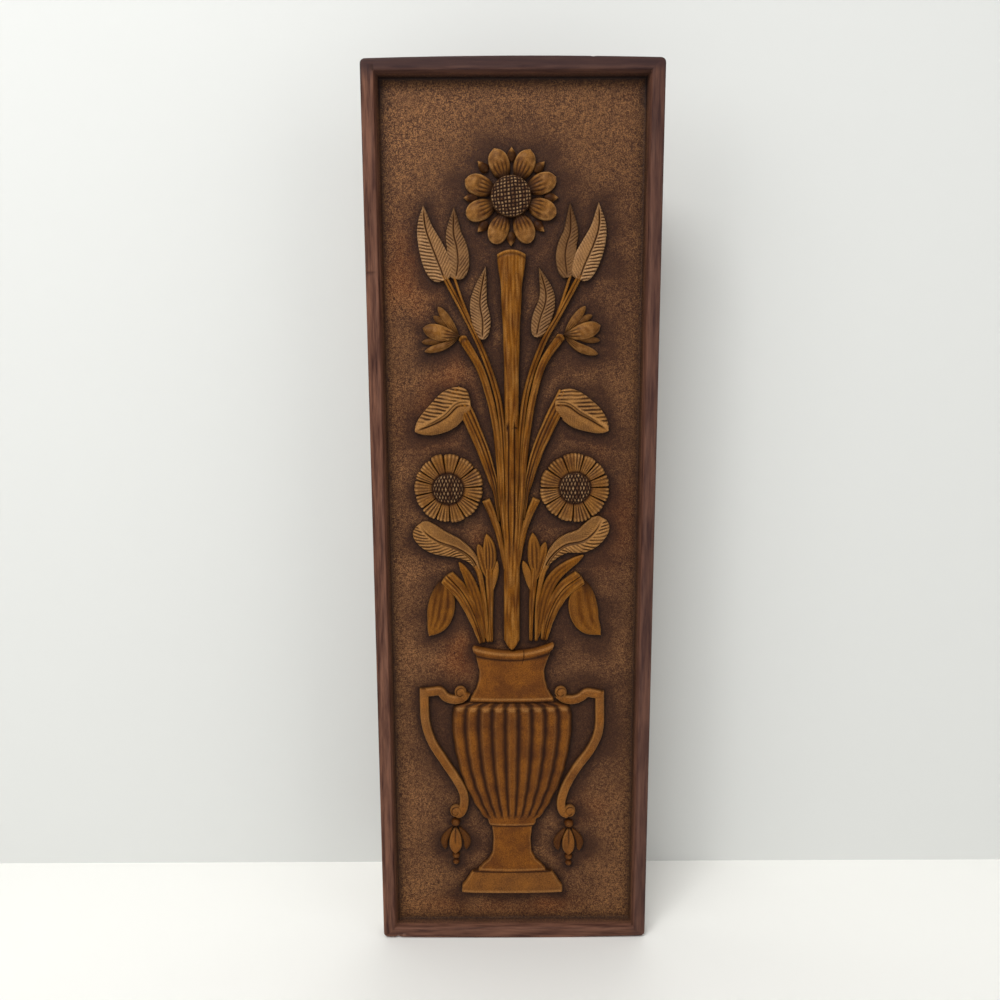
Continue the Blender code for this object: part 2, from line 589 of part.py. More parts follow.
def make_panel(parts, cutters, carving):
    """The one solid: board, rim, sunk field and everything carved on it."""
    panel = bpy.data.objects.new("carved_panel", make_board_blank())
    parts.objects.link(panel)
    panel.data.materials.append(make_wood())

    field = panel.modifiers.new("field", "BOOLEAN")
    field.operation = "DIFFERENCE"
    field.solver = "EXACT"
    field.object = make_field_cutter(cutters)

    wear = panel.modifiers.new("worn_edges", "BEVEL")
    wear.width = edge_round
    wear.segments = 2
    wear.limit_method = "ANGLE"
    wear.angle_limit = math.radians(45)

    relief = panel.modifiers.new("relief", "BOOLEAN")
    relief.operation = "UNION"
    relief.solver = "EXACT"
    relief.operand_type = "COLLECTION"
    relief.collection = carving
    return panel


def build():
    for thing in list(bpy.data.objects):
        bpy.data.objects.remove(thing)
    parts = make_collection("wall_plaque", shown=True)
    cutters = make_collection("cutters", shown=False)
    carving = make_collection("carving", shown=False)
    carve_urn(carving)
    carve_handles(carving)
    carve_tassels(carving)
    carve_stems(carving)
    carve_leaves(carving)
    carve_lilies(carving)
    carve_daisies(carving)
    carve_crown_flower(carving)
    make_panel(parts, cutters, carving)


build()
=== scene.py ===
import math
from collections import namedtuple

import bmesh
import bpy
from mathutils import Euler, Matrix, Vector, noise
from mathutils.kdtree import KDTree


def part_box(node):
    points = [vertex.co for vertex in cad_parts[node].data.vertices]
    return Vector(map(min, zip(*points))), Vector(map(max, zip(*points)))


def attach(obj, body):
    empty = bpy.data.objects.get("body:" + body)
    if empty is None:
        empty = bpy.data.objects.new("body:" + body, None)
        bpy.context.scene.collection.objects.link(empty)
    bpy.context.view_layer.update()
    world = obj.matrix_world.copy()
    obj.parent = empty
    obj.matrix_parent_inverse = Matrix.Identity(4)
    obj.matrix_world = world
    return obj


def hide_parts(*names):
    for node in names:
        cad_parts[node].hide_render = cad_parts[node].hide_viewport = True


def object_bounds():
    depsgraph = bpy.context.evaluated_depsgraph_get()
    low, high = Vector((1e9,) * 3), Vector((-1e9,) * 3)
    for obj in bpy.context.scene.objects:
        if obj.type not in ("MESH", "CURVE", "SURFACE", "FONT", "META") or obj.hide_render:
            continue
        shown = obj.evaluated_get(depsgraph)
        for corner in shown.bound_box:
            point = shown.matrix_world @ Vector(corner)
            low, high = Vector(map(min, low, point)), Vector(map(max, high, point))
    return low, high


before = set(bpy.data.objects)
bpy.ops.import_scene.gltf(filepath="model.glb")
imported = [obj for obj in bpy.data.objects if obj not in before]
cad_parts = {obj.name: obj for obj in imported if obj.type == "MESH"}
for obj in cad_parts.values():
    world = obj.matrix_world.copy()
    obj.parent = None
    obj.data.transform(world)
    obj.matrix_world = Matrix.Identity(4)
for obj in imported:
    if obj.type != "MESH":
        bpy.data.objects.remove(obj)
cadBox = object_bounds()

# A carved wall plaque. The front faces -Y, the back lies in y = 0, and the middle of the back is the origin.

lowCorner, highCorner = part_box("carved_panel")
board = {
    "width": highCorner.x - lowCorner.x,
    "height": highCorner.z - lowCorner.z,
    "thickness": highCorner.y - lowCorner.y,
    "rim": 0.0125,            # face of the frame, to its inner arris
    "fieldDepth": 0.013,
    "wallRun": 0.004,         # the field's walls lean in by this much
    "endCrown": 0.0018,
    "cornerRadius": 0.005,
    "edgeRound": 0.0018,      # outer arris
    "innerRound": 0.0011,
    "footRound": 0.0016,
    "pitch": 0.00186,         # of the ground's grid
    "jitter": 0.00045,        # the grid's points are shaken by this, so no rows show
    "stipple": 0.00016,       # the coarser punch marks, from crest to pit
    "hollows": 0.00030,       # slow unevenness left by the gouge
    "rimWander": 0.00035,
    "haloReach": 0.0050,      # dark glaze close round each form, painted darker below and to the right of it as painted shadow
    "shadeReach": 0.023,      # and the softer painted shade outside it, darker below each form, with patches
    "wallReach": 0.0050,      # the same along the frame's inner walls
    "wallStain": 0.76,
    "topFrom": 0.40,          # above this height painted shadow from the top rail makes the walls' glaze wider and stronger
    "topRun": 0.03,
    "topReach": 0.0030,
    "topStain": 0.24,
    "rightShade": 0.22,       # painted shade, darker to the right, the side away from the light
    "darkest": 0.84,          # the punch marks still show where the painted shade is darkest
    # rust-coloured places: x, z, half width, half height
    "rustySpots": [
        (-0.075, 0.135, 0.040, 0.045), (-0.060, -0.135, 0.035, 0.030), (0.030, -0.020, 0.014, 0.016),
        (-0.100, 0.250, 0.030, 0.050), (0.095, 0.020, 0.030, 0.060), (-0.032, -0.010, 0.014, 0.020),
        (0.080, -0.300, 0.030, 0.040), (0.0, -0.425, 0.080, 0.012),
    ],
    # painted shade round the crown, inside the handles and in a few other enclosed places: x, z, half width,
    # half height, how much
    "darkSpots": [
        (-0.002, 0.333, 0.062, 0.064, 0.50), (-0.076, -0.215, 0.018, 0.050, 0.55),
        (0.072, -0.215, 0.018, 0.050, 0.55), (-0.030, -0.090, 0.020, 0.030, 0.50),
        (0.026, -0.090, 0.020, 0.030, 0.50), (-0.085, 0.130, 0.030, 0.040, 0.20),
    ],
    # losses and scratches along the frame: x, z, half width, half height, depth, how dark (light below 0)
    "chips": [
        (-0.1290, -0.4575, 0.0022, 0.0022, 0.0016, -0.9), (-0.1225, -0.4548, 0.0020, 0.0014, 0.0012, -0.6),
        (0.0760, 0.4588, 0.0022, 0.0010, 0.0014, 0.9), (-0.1400, 0.2600, 0.0050, 0.0016, 0.0003, 0.6),
        (-0.1335, 0.4485, 0.0018, 0.0032, 0.0003, 0.7),
    ],
}

# The carving is laid out on squares a millimetre wide, x and z from the board's middle.
# Heights are shares of the field's depth above the ground.
squaresAcross = 265
squaresUp = 893
squareX = (board["width"] - 2 * board["rim"]) / squaresAcross
squareZ = (board["height"] - 2 * board["rim"]) / squaresUp
groundPlane = -(board["thickness"] - board["fieldDepth"])

carving = {
    "cell": 0.62,             # squares between two points of a fine form
    "root": 0.0016,           # a form runs this far into the ground
    "lipRound": 1.9,          # squares over which a margin rounds off
    "lipDrop": 0.50,          # of the height, lost over that round
    "edgeFall": 0.32,         # from a form's crest to its margin
    "endFall": 0.20,
    "wander": 0.28,           # squares that a margin strays from its line, as a knife does
    "chatter": 0.012,         # and the height
}


# Shared helpers

def place(x, z, height):
    return Vector((x * squareX, groundPlane - height * board["fieldDepth"], z * squareZ))


def clamp(value, low=0.0, high=1.0):
    return min(max(value, low), high)


def ease(value):
    value = clamp(value)
    return value * value * (3 - 2 * value)


def between(values, share):
    # a value read between evenly spaced ones
    spot = clamp(share) * (len(values) - 1)
    first = min(int(spot), len(values) - 2)
    return values[first] + (values[first + 1] - values[first]) * ease(spot - first)


def ripple(x, z, size, seed=0.0):
    return noise.noise(Vector((x / size, z / size, seed)))


def band(value, middle, width):
    # 1 at the middle, dying away to both sides
    return math.exp(-((value - middle) / width) ** 2)


def spotAt(x, z, spot):
    # the same round a spot: x, z, half width, half height
    return math.exp(-((x - spot[0]) / spot[2]) ** 2 - ((z - spot[1]) / spot[3]) ** 2)


def cutRow(angle, power):
    # lines side by side: 1 at the bottom of each cut, 0 on the ridge between two
    return (0.5 + 0.5 * math.cos(angle)) ** power


def cutsAlong(here, lines, power):
    # so many lines along a form
    return cutRow(math.pi * (lines + 1) * (here.side + 1), power)


def rolled(height, round_):
    # a height that rounds off towards its margin
    return height * (1 - carving["lipDrop"] * (1 - round_))


def follow(guide):
    # runs evenly along a smooth curve through the guide points; gives the point and the step to its right
    points = [Vector(point) for point in guide]
    ends = [2 * points[0] - points[1]] + points + [2 * points[-1] - points[-2]]
    fine = []
    steps = 12            # between two guide points
    for before, start, end, after in zip(ends, ends[1:], ends[2:], ends[3:]):
        turnIn = (end - before) / 2
        turnOut = (after - start) / 2
        across = end - start
        for step in range(steps):
            share = step / steps
            fine.append(start + share * turnIn + share ** 2 * (3 * across - 2 * turnIn - turnOut)
                        + share ** 3 * (turnIn + turnOut - 2 * across))
    fine.append(points[-1])
    reached = [0.0]
    for one, two in zip(fine, fine[1:]):
        reached.append(reached[-1] + (two - one).length)
    slopes = [(two - one).normalized() for one, two in zip(fine, fine[1:])]

    def spot(share):
        wanted = clamp(share) * reached[-1]
        part = 1
        while part < len(fine) - 1 and reached[part] < wanted:
            part += 1
        mix = (wanted - reached[part - 1]) / max(reached[part] - reached[part - 1], 1e-9)
        before = slopes[max(part - 2, 0)]
        after = slopes[min(part, len(slopes) - 1)]
        here = slopes[part - 1]
        along = (before.lerp(here, mix + 0.5) if mix < 0.5 else here.lerp(after, mix - 0.5)).normalized()
        return fine[part - 1].lerp(fine[part], mix), Vector((along.y, -along.x))

    return spot, reached[-1]


def swell(share, foot, tip):
    # half width of a leaf, from a blunt foot to 1 at its widest to a blunt tip
    peak = foot / (foot + tip)
    share = clamp(share, 0.004, 0.996)
    return (share / peak) ** foot * ((1 - share) / (1 - peak)) ** tip


def newForm():
    form = bmesh.new()
    # per point: the glaze, the pale wear together with its painted highlights, and how low on a wall it lies
    for name in ("groove", "worn", "low"):
        form.verts.layers.float.new(name)
    return form


def mark(form, corner, groove, worn, low=0.0):
    layers = form.verts.layers.float
    corner[layers["groove"]] = clamp(groove)
    corner[layers["worn"]] = clamp(worn)
    corner[layers["low"]] = clamp(low)


def sink(form, corners):
    # gives an open carved surface its walls and a bottom under the ground
    margin = list({edge for corner in corners for edge in corner.link_edges if edge.is_boundary})
    grown = bmesh.ops.extrude_edge_only(form, edges=margin)["geom"]
    low = form.verts.layers.float["low"]
    for item in grown:
        if isinstance(item, bmesh.types.BMVert):
            item.co.y = groundPlane + carving["root"]
            item[low] = 1.0
    bmesh.ops.contextual_create(form, geom=[item for item in grown if isinstance(item, bmesh.types.BMEdge)])


def lip(gap, radius):
    # 0 at a margin, 1 from a radius inside it
    short = 1 - clamp(gap / radius)
    return math.sqrt(max(0.0, 1 - short * short))


# Where a point of a form lies: side -1 to 1, share 0 to 1, then in squares how far along,
# off the middle line, inside the margin and inside the nearer end, and where on the board
Spot = namedtuple("Spot", "side share along across gap end x z")


def carveStrip(form, guide, reach, section, cell=carving["cell"], lipRound=carving["lipRound"], ends=True,
               arch=0.0):
    # a closed form along a line; reach(share) is its left and right half width, and arch
    # how far the middle of its far end stands beyond the corners
    spot, length = follow(guide)
    widest = max(sum(reach(step / 20)) for step in range(21))
    columns = max(6, 2 * math.ceil(widest / cell / 2))
    rows = max(8, math.ceil(length / cell))
    corners = bmesh.ops.create_grid(form, x_segments=columns, y_segments=rows, size=1.0)["verts"]
    stations = {}
    for corner in corners:
        u, v = corner.co.x, corner.co.y
        side = math.copysign(1 - (1 - abs(u)) ** 1.35, u)      # closer together near the margins
        share = (v + 1) / 2
        key = round(v, 5)
        if key not in stations:
            stations[key] = spot(share) + (reach(share),)
        middle, right, halves = stations[key]
        half = halves[1] if side > 0 else halves[0]
        stray = carving["wander"] * min(1.0, half / 5) * abs(side) ** 3
        off = side * half + math.copysign(stray * ripple(middle.x, middle.y, 7.0, side), side)
        point = middle + right * off
        if arch:
            along = Vector((-right.y, right.x))
            point += along * (arch * (1 - side * side - 0.8) * ease((share - 0.9) / 0.1))
        gap = (1 - abs(side)) * half
        end = min(share, 1 - share) * length if ends else length
        here = Spot(side, share, share * length, abs(off), gap, end, point.x, point.y)
        height, groove, worn = section(here)
        round_ = min(lip(gap, min(lipRound, 0.8 * half + 0.01)), lip(end, lipRound))
        height = rolled(height, round_) + carving["chatter"] * ripple(point.x, point.y, 3.5, 2.0)
        corner.co = place(point.x, point.y, height)
        mark(form, corner, groove, worn, 0.60 * (1 - round_) ** 2)
    sink(form, corners)


def carveDome(form, centre, radius, height, brim, section, cell=carving["cell"], squash=1.0):
    # a round boss; section(x, z, out) gives a factor on its height, a groove and wear
    cells = max(8, 2 * math.ceil(radius / cell))
    corners = bmesh.ops.create_grid(form, x_segments=cells, y_segments=cells, size=1.0)["verts"]
    for corner in corners:
        u, v = corner.co.x, corner.co.y
        ring = max(abs(u), abs(v))
        spread = ring / max(math.hypot(u, v), 1e-9)
        out = 1 - (1 - ring) ** 1.2
        x = u * spread / max(ring, 1e-9) * out * radius
        z = v * spread / max(ring, 1e-9) * out * radius * squash
        rise, groove, worn = section(x, z, out)
        round_ = lip((1 - out) * radius, min(carving["lipRound"], 0.6 * radius))
        top = brim + (1 - brim) * math.sqrt(max(0.0, 1 - out ** 2))
        corner.co = place(centre[0] + x, centre[1] + z, rolled(height * top * rise, round_))
        mark(form, corner, groove, worn, 0.25 * (1 - round_))
    sink(form, corners)


def addToScene(name, data):
    thing = bpy.data.objects.new(name, data)
    bpy.context.scene.collection.objects.link(thing)
    return thing


pieceNames = []


def finishPiece(name, form, material, sharp=48):
    # a visible piece, on the one body, that stands for the carved solid
    bmesh.ops.recalc_face_normals(form, faces=form.faces[:])
    mesh = bpy.data.meshes.new(name)
    form.to_mesh(mesh)
    form.free()
    mesh.shade_smooth()
    mesh.set_sharp_from_angle(angle=math.radians(sharp))
    piece = addToScene(name, mesh)
    mesh.materials.append(material)
    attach(piece, "root")
    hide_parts("carved_panel")
    pieceNames.append(name)
    mesh.calc_loop_triangles()
    print(f"{name}: {len(mesh.loop_triangles)} triangles")


# Shader node helpers and the shared effects

def socketsOf(group, names, way, kind="NodeSocketFloat"):
    for name, value in names.items():
        socket = group.interface.new_socket(name=name, in_out=way, socket_type=kind)
        if value is not None:
            socket.default_value = value


def feed(node, values):
    # sets each named input, or wires it where the value is another node's socket
    for name, value in values.items():
        if isinstance(value, bpy.types.NodeSocket):
            node.id_data.links.new(value, node.inputs[name])
        else:
            node.inputs[name].default_value = value


def addNode(tree, kind, values=None, **settings):
    node = tree.nodes.new(kind)
    for name, value in settings.items():
        setattr(node, name, value)
    feed(node, values or {})
    return node


def mixColours(tree, mask, one, two):
    values = {"Factor": mask, "A": one, "B": two}
    return addNode(tree, "ShaderNodeMix", values, data_type="RGBA").outputs["Result"]


def mixValues(tree, mask, one, two):
    values = {"Factor": mask, "A": one, "B": two}
    return addNode(tree, "ShaderNodeMix", values, data_type="FLOAT").outputs["Result"]


def ramp(tree, value, low, high, bottom=0.0, top=1.0):
    values = {"Value": value, "From Min": low, "From Max": high, "To Min": bottom, "To Max": top}
    return addNode(tree, "ShaderNodeMapRange", values, clamp=True).outputs["Result"]


def combine(tree, operation, one, two):
    return addNode(tree, "ShaderNodeMath", {0: one, 1: two}, operation=operation,
                   use_clamp=operation != "SUBTRACT").outputs[0]


def cloudy(tree, where, scale, detail, roughness=0.5):
    values = {"Vector": where, "Scale": scale, "Detail": detail, "Roughness": roughness}
    return addNode(tree, "ShaderNodeTexNoise", values).outputs["Fac"]


def makeGrainGroup():
    # streaks along the wood, its pores, and slow patches of colour
    group = bpy.data.node_groups.new("woodGrain", "ShaderNodeTree")
    socketsOf(group, {"Vector": None}, "INPUT", "NodeSocketVector")
    socketsOf(group, {"Streak Scale": 260.0, "Patch Scale": 16.0, "Speckle Scale": 420.0}, "INPUT")
    socketsOf(group, {"Streak": None, "Patch": None, "Speckle": None, "Height": None}, "OUTPUT")
    get = addNode(group, "NodeGroupInput").outputs
    stretched = addNode(group, "ShaderNodeMapping", {"Vector": get["Vector"], "Scale": (1.0, 1.0, 0.07)})
    streak = cloudy(group, stretched.outputs["Vector"], get["Streak Scale"], 5.0, 0.6)
    patch = cloudy(group, get["Vector"], get["Patch Scale"], 3.0, 0.55)
    speckle = cloudy(group, get["Vector"], get["Speckle Scale"], 2.0)
    addNode(group, "NodeGroupOutput", {
        "Streak": ramp(group, streak, 0.32, 0.68),
        "Patch": ramp(group, patch, 0.36, 0.64),
        "Speckle": ramp(group, speckle, 0.34, 0.66),
        "Height": combine(group, "ADD", streak, speckle),
    })
    return group


def makeStainGroup():
    # old stain: darker streaks, redder patches, dark glaze left in the grooves (with painted shadow in a few
    # hollows), pale wear on the crests (with painted highlights on lit edges and mouldings)
    group = bpy.data.node_groups.new("agedStain", "ShaderNodeTree")
    socketsOf(group, {
        "Wood": (0.2, 0.1, 0.03, 1), "Deep": (0.1, 0.03, 0.01, 1), "Glaze": (0.02, 0.01, 0.01, 1),
        "Bare": (0.4, 0.2, 0.1, 1),
    }, "INPUT", "NodeSocketColor")
    socketsOf(group, {
        "Streak": 0.5, "Patch": 0.5, "Speckle": 0.5, "Groove": 0.0, "Worn": 0.0, "Low": 0.0,
        "Streak Depth": 0.5, "Patch Depth": 0.6, "Speckle Depth": 0.4, "Wear Amount": 0.6,
        "Glaze Amount": 0.8,
    }, "INPUT")
    socketsOf(group, {"Color": None}, "OUTPUT", "NodeSocketColor")
    socketsOf(group, {"Roughness": None}, "OUTPUT")
    get = addNode(group, "NodeGroupInput").outputs
    patches = combine(group, "MULTIPLY", get["Patch"], get["Patch Depth"])
    patched = mixColours(group, patches, get["Wood"], get["Deep"])
    streaks = combine(group, "MULTIPLY", get["Streak"], get["Streak Depth"])
    streaked = mixColours(group, streaks, patched, get["Deep"])
    spots = combine(group, "MULTIPLY", get["Speckle"], get["Speckle Depth"])
    specked = mixColours(group, spots, streaked, get["Glaze"])
    rubbed = combine(group, "MULTIPLY", get["Worn"], get["Wear Amount"])
    broken = combine(group, "MULTIPLY", rubbed, ramp(group, get["Speckle"], 0.0, 1.0, 1.0, 0.45))
    worn = mixColours(group, broken, specked, get["Bare"])
    cut = combine(group, "MAXIMUM", get["Groove"], get["Low"])
    glaze = combine(group, "MULTIPLY", cut, get["Glaze Amount"])
    smooth = combine(group, "SUBTRACT", get["Worn"], get["Streak"])
    addNode(group, "NodeGroupOutput", {
        "Color": mixColours(group, glaze, worn, get["Glaze"]),
        "Roughness": ramp(group, smooth, -1.0, 1.0, 0.5, 0.34),
    })
    return group


def makePunchGroup():
    # the round marks of a matting punch, uneven in size and depth
    group = bpy.data.node_groups.new("punchMarks", "ShaderNodeTree")
    socketsOf(group, {"Vector": None}, "INPUT", "NodeSocketVector")
    socketsOf(group, {"Mark Scale": 1180.0, "Uneven Scale": 360.0, "Uneven": 0.25}, "INPUT")
    socketsOf(group, {"Pit": None, "Crest": None, "Height": None}, "OUTPUT")
    get = addNode(group, "NodeGroupInput").outputs
    marks = cloudy(group, get["Vector"], get["Mark Scale"], 1.0, 0.45)
    uneven = cloudy(group, get["Vector"], get["Uneven Scale"], 1.0)
    height = mixValues(group, get["Uneven"], marks, uneven)
    addNode(group, "NodeGroupOutput", {
        "Pit": ramp(group, height, 0.47, 0.34),
        "Crest": ramp(group, height, 0.50, 0.64),
        "Height": height,
    })
    return group


grainGroup = makeGrainGroup()
stainGroup = makeStainGroup()
punchGroup = makePunchGroup()
bumpHeight = 0.0006


def colour(red, green, blue):
    # a colour as it looks on a screen, 0 to 255, as the shader wants it
    linear = [((value / 255 + 0.055) / 1.055) ** 2.4 if value > 10 else value / 255 / 12.92
              for value in (red, green, blue)]
    return (*linear, 1.0)


def readMask(tree, name):
    return addNode(tree, "ShaderNodeAttribute", attribute_name=name).outputs["Fac"]


def placeGroup(tree, group, values, **others):
    # a shared effect, with its own values for those of its inputs that are named in values
    own = {socket.name: values[socket.name] for socket in group.interface.items_tree
           if socket.in_out == "INPUT" and socket.name in values}
    return addNode(tree, "ShaderNodeGroup", {**own, **others}, node_tree=group).outputs


def woodMaterial(name, looks):
    material = bpy.data.materials.new(name)
    material.use_nodes = True
    tree = material.node_tree
    where = addNode(tree, "ShaderNodeTexCoord").outputs["Object"]
    grain = placeGroup(tree, grainGroup, looks, Vector=where)
    masks = {socket: readMask(tree, socket.lower()) for socket in ("Groove", "Worn", "Low")}
    grains = {socket: grain[socket] for socket in ("Streak", "Patch", "Speckle")}
    stain = placeGroup(tree, stainGroup, looks, **masks, **grains)
    bump = addNode(tree, "ShaderNodeBump",
                   {"Strength": looks["bump"], "Distance": bumpHeight, "Height": grain["Height"]})
    feed(tree.nodes["Principled BSDF"], {
        "Specular IOR Level": looks["gloss"], "Base Color": stain["Color"], "Roughness": stain["Roughness"],
        "Normal": bump.outputs["Normal"],
    })
    return material, tree, where, grain, stain["Color"], bump.outputs["Normal"]


plainFinish = {
    "Streak Scale": 420.0, "Patch Scale": 60.0, "Speckle Scale": 1150.0, "Patch Depth": 0.60,
    "Speckle Depth": 0.46, "Glaze Amount": 0.95, "bump": 0.5, "gloss": 0.06,
}
finishes = {
    "stemWood": {
        "Wood": colour(140, 84, 14), "Deep": colour(76, 36, 9), "Glaze": colour(28, 14, 10),
        "Bare": colour(186, 132, 66), "Streak Scale": 520.0, "Streak Depth": 0.60, "Wear Amount": 0.60,
    },
    "leafWood": {
        "Wood": colour(142, 94, 42), "Deep": colour(94, 50, 24), "Glaze": colour(32, 17, 12),
        "Bare": colour(200, 158, 112), "Streak Depth": 0.45, "Wear Amount": 0.85,
    },
    "goldWood": {
        "Wood": colour(140, 90, 30), "Deep": colour(84, 44, 18), "Glaze": colour(30, 15, 10),
        "Bare": colour(190, 140, 84), "Patch Scale": 70.0, "Streak Depth": 0.50, "Patch Depth": 0.70,
        "Speckle Depth": 0.50, "Wear Amount": 0.80,
    },
    "urnWood": {
        "Wood": colour(134, 77, 17), "Deep": colour(80, 38, 10), "Glaze": colour(28, 14, 10),
        "Bare": colour(182, 130, 74), "Streak Scale": 900.0, "Patch Scale": 50.0, "Speckle Scale": 1000.0,
        "Streak Depth": 0.35, "Patch Depth": 0.80, "Speckle Depth": 0.52, "Wear Amount": 0.60,
    },
    "seedWood": {
        "Wood": colour(88, 52, 26), "Deep": colour(56, 28, 14), "Glaze": colour(24, 12, 8),
        "Bare": colour(192, 154, 110), "Streak Depth": 0.40, "Patch Depth": 0.50, "Speckle Depth": 0.40,
        "Wear Amount": 0.85, "Glaze Amount": 0.97, "bump": 0.40,
    },
}
woods = {name: woodMaterial(name, {**plainFinish, **looks})[0] for name, looks in finishes.items()}
print("woods mixed")


# Leaves: a midrib from foot to tip, how far the blade reaches to its left and its right, how blunt its foot
# and tip are, its height, the dark stain left on it, and each half's veins. A vein set has the slant of its
# lines on the board ("turn", degrees) or off the midrib ("lean"), the step between lines, their depth, how
# far from the midrib they start, and how narrow the cuts are. A second rib has its place beside the midrib
# and its depth.
leaves = {
    "outerLeft": {
        "rib": [(-68, 254), (-71.5, 264), (-80, 286), (-86, 304), (-88, 325)], "reach": (15, 12),
        "fullness": (0.30, 0.90), "height": 0.50,
        "left": {"turn": -9, "step": 3.1, "depth": 0.15, "clear": 0.6, "sharp": 2.0},
        "right": {"turn": 64, "step": 2.6, "depth": 0.06, "clear": 0.8, "sharp": 1.5},
    },
    "outerRight": {
        "rib": [(66, 254), (70, 266), (80, 289), (84.5, 306), (84, 327)], "reach": (13, 13),
        "fullness": (0.30, 0.90), "height": 0.50,
        "left": {"turn": -62, "step": 2.6, "depth": 0.05, "clear": 0.8, "sharp": 1.5},
        "right": {"turn": 8, "step": 3.1, "depth": 0.15, "clear": 0.6, "sharp": 2.0},
    },
    "innerLeft": {
        "rib": [(-57, 255), (-54.5, 270), (-55.5, 285), (-58.5, 299), (-58, 323)], "reach": (11, 11),
        "fullness": (0.32, 0.90), "height": 0.42, "stain": 0.30,
        "left": {"turn": -36, "step": 2.8, "depth": 0.12, "clear": 0.5, "sharp": 1.6},
        "right": {"turn": 54, "step": 2.6, "depth": 0.09, "clear": 0.5, "sharp": 1.5},
    },
    "innerRight": {
        "rib": [(54, 256), (51.5, 275), (53, 288), (56.5, 301), (56, 327)], "reach": (9, 11),
        "fullness": (0.32, 0.90), "height": 0.42, "stain": 0.46,
        "left": {"turn": -54, "step": 2.6, "depth": 0.08, "clear": 0.5, "sharp": 1.5},
        "right": {"turn": 36, "step": 2.8, "depth": 0.10, "clear": 0.5, "sharp": 1.6},
    },
    "smallLeft": {
        "rib": [(-31, 196), (-30.5, 213), (-33, 229), (-32, 242), (-27, 267)], "reach": (11, 8),
        "fullness": (0.40, 0.95), "height": 0.44, "stain": 0.20,
        "left": {"turn": -30, "step": 2.6, "depth": 0.11, "clear": 0.5, "sharp": 1.6},
        "right": {"turn": 44, "step": 2.8, "depth": 0.13, "clear": 0.5, "sharp": 1.6},
    },
    "smallRight": {
        "rib": [(23, 198), (27, 216), (32, 231), (32, 244), (25.5, 266)], "reach": (8, 11),
        "fullness": (0.40, 0.95), "height": 0.44, "stain": 0.32,
        "left": {"turn": -44, "step": 2.8, "depth": 0.10, "clear": 0.5, "sharp": 1.6},
        "right": {"turn": 32, "step": 2.8, "depth": 0.12, "clear": 0.5, "sharp": 1.6},
    },
    "broadLeft": {
        "rib": [(-43.5, 130), (-56, 129), (-67, 119), (-80, 111.5), (-100, 104)], "reach": (13.5, 21.5),
        "fullness": (0.34, 0.60), "height": 0.58,
        "left": {"lean": 0.5, "step": 2.0, "depth": 0.035, "clear": 5.0, "sharp": 1.2},
        "right": {"turn": -9, "step": 3.75, "depth": 0.17, "clear": 4.6, "sharp": 1.3},
        "secondRib": (3.6, 0.10),
    },
    "broadRight": {
        "rib": [(42.5, 130), (55, 129), (67, 121), (80, 114), (96.5, 104)], "reach": (19, 15),
        "fullness": (0.34, 0.60), "height": 0.58,
        "left": {"turn": 3, "step": 3.9, "depth": 0.12, "clear": 4.2, "sharp": 1.3},
        "right": {"lean": 0.5, "step": 2.0, "depth": 0.035, "clear": 5.0, "sharp": 1.2},
        "secondRib": (-3.2, 0.08),
    },
    "curledLeft": {
        "rib": [(-32.5, -62), (-36, -45), (-43, -29), (-58, -18), (-78, -10.5), (-90, -2.5), (-98, 7.5)],
        "reach": (15, 13), "fullness": (1.60, 0.36), "height": 0.50,
        "left": {"lean": 1.15, "step": 4.6, "depth": 0.18, "clear": 1.6, "sharp": 2.0},
        "right": {"lean": 3.2, "step": 3.6, "depth": 0.085, "clear": 1.8, "sharp": 1.6},
        "secondRib": (-2.2, 0.10),
    },
    "curledRight": {
        "rib": [(28.5, -62), (31, -45), (38, -28.5), (53, -15), (73, -10), (85, 0), (92.5, 13.5)],
        "reach": (13.5, 13.5), "fullness": (1.60, 0.36), "height": 0.50,
        "left": {"lean": 3.0, "step": 3.6, "depth": 0.085, "clear": 1.8, "sharp": 1.6},
        "right": {"lean": 0.9, "step": 4.4, "depth": 0.17, "clear": 1.6, "sharp": 2.0},
        "secondRib": (2.2, 0.10),
    },
}
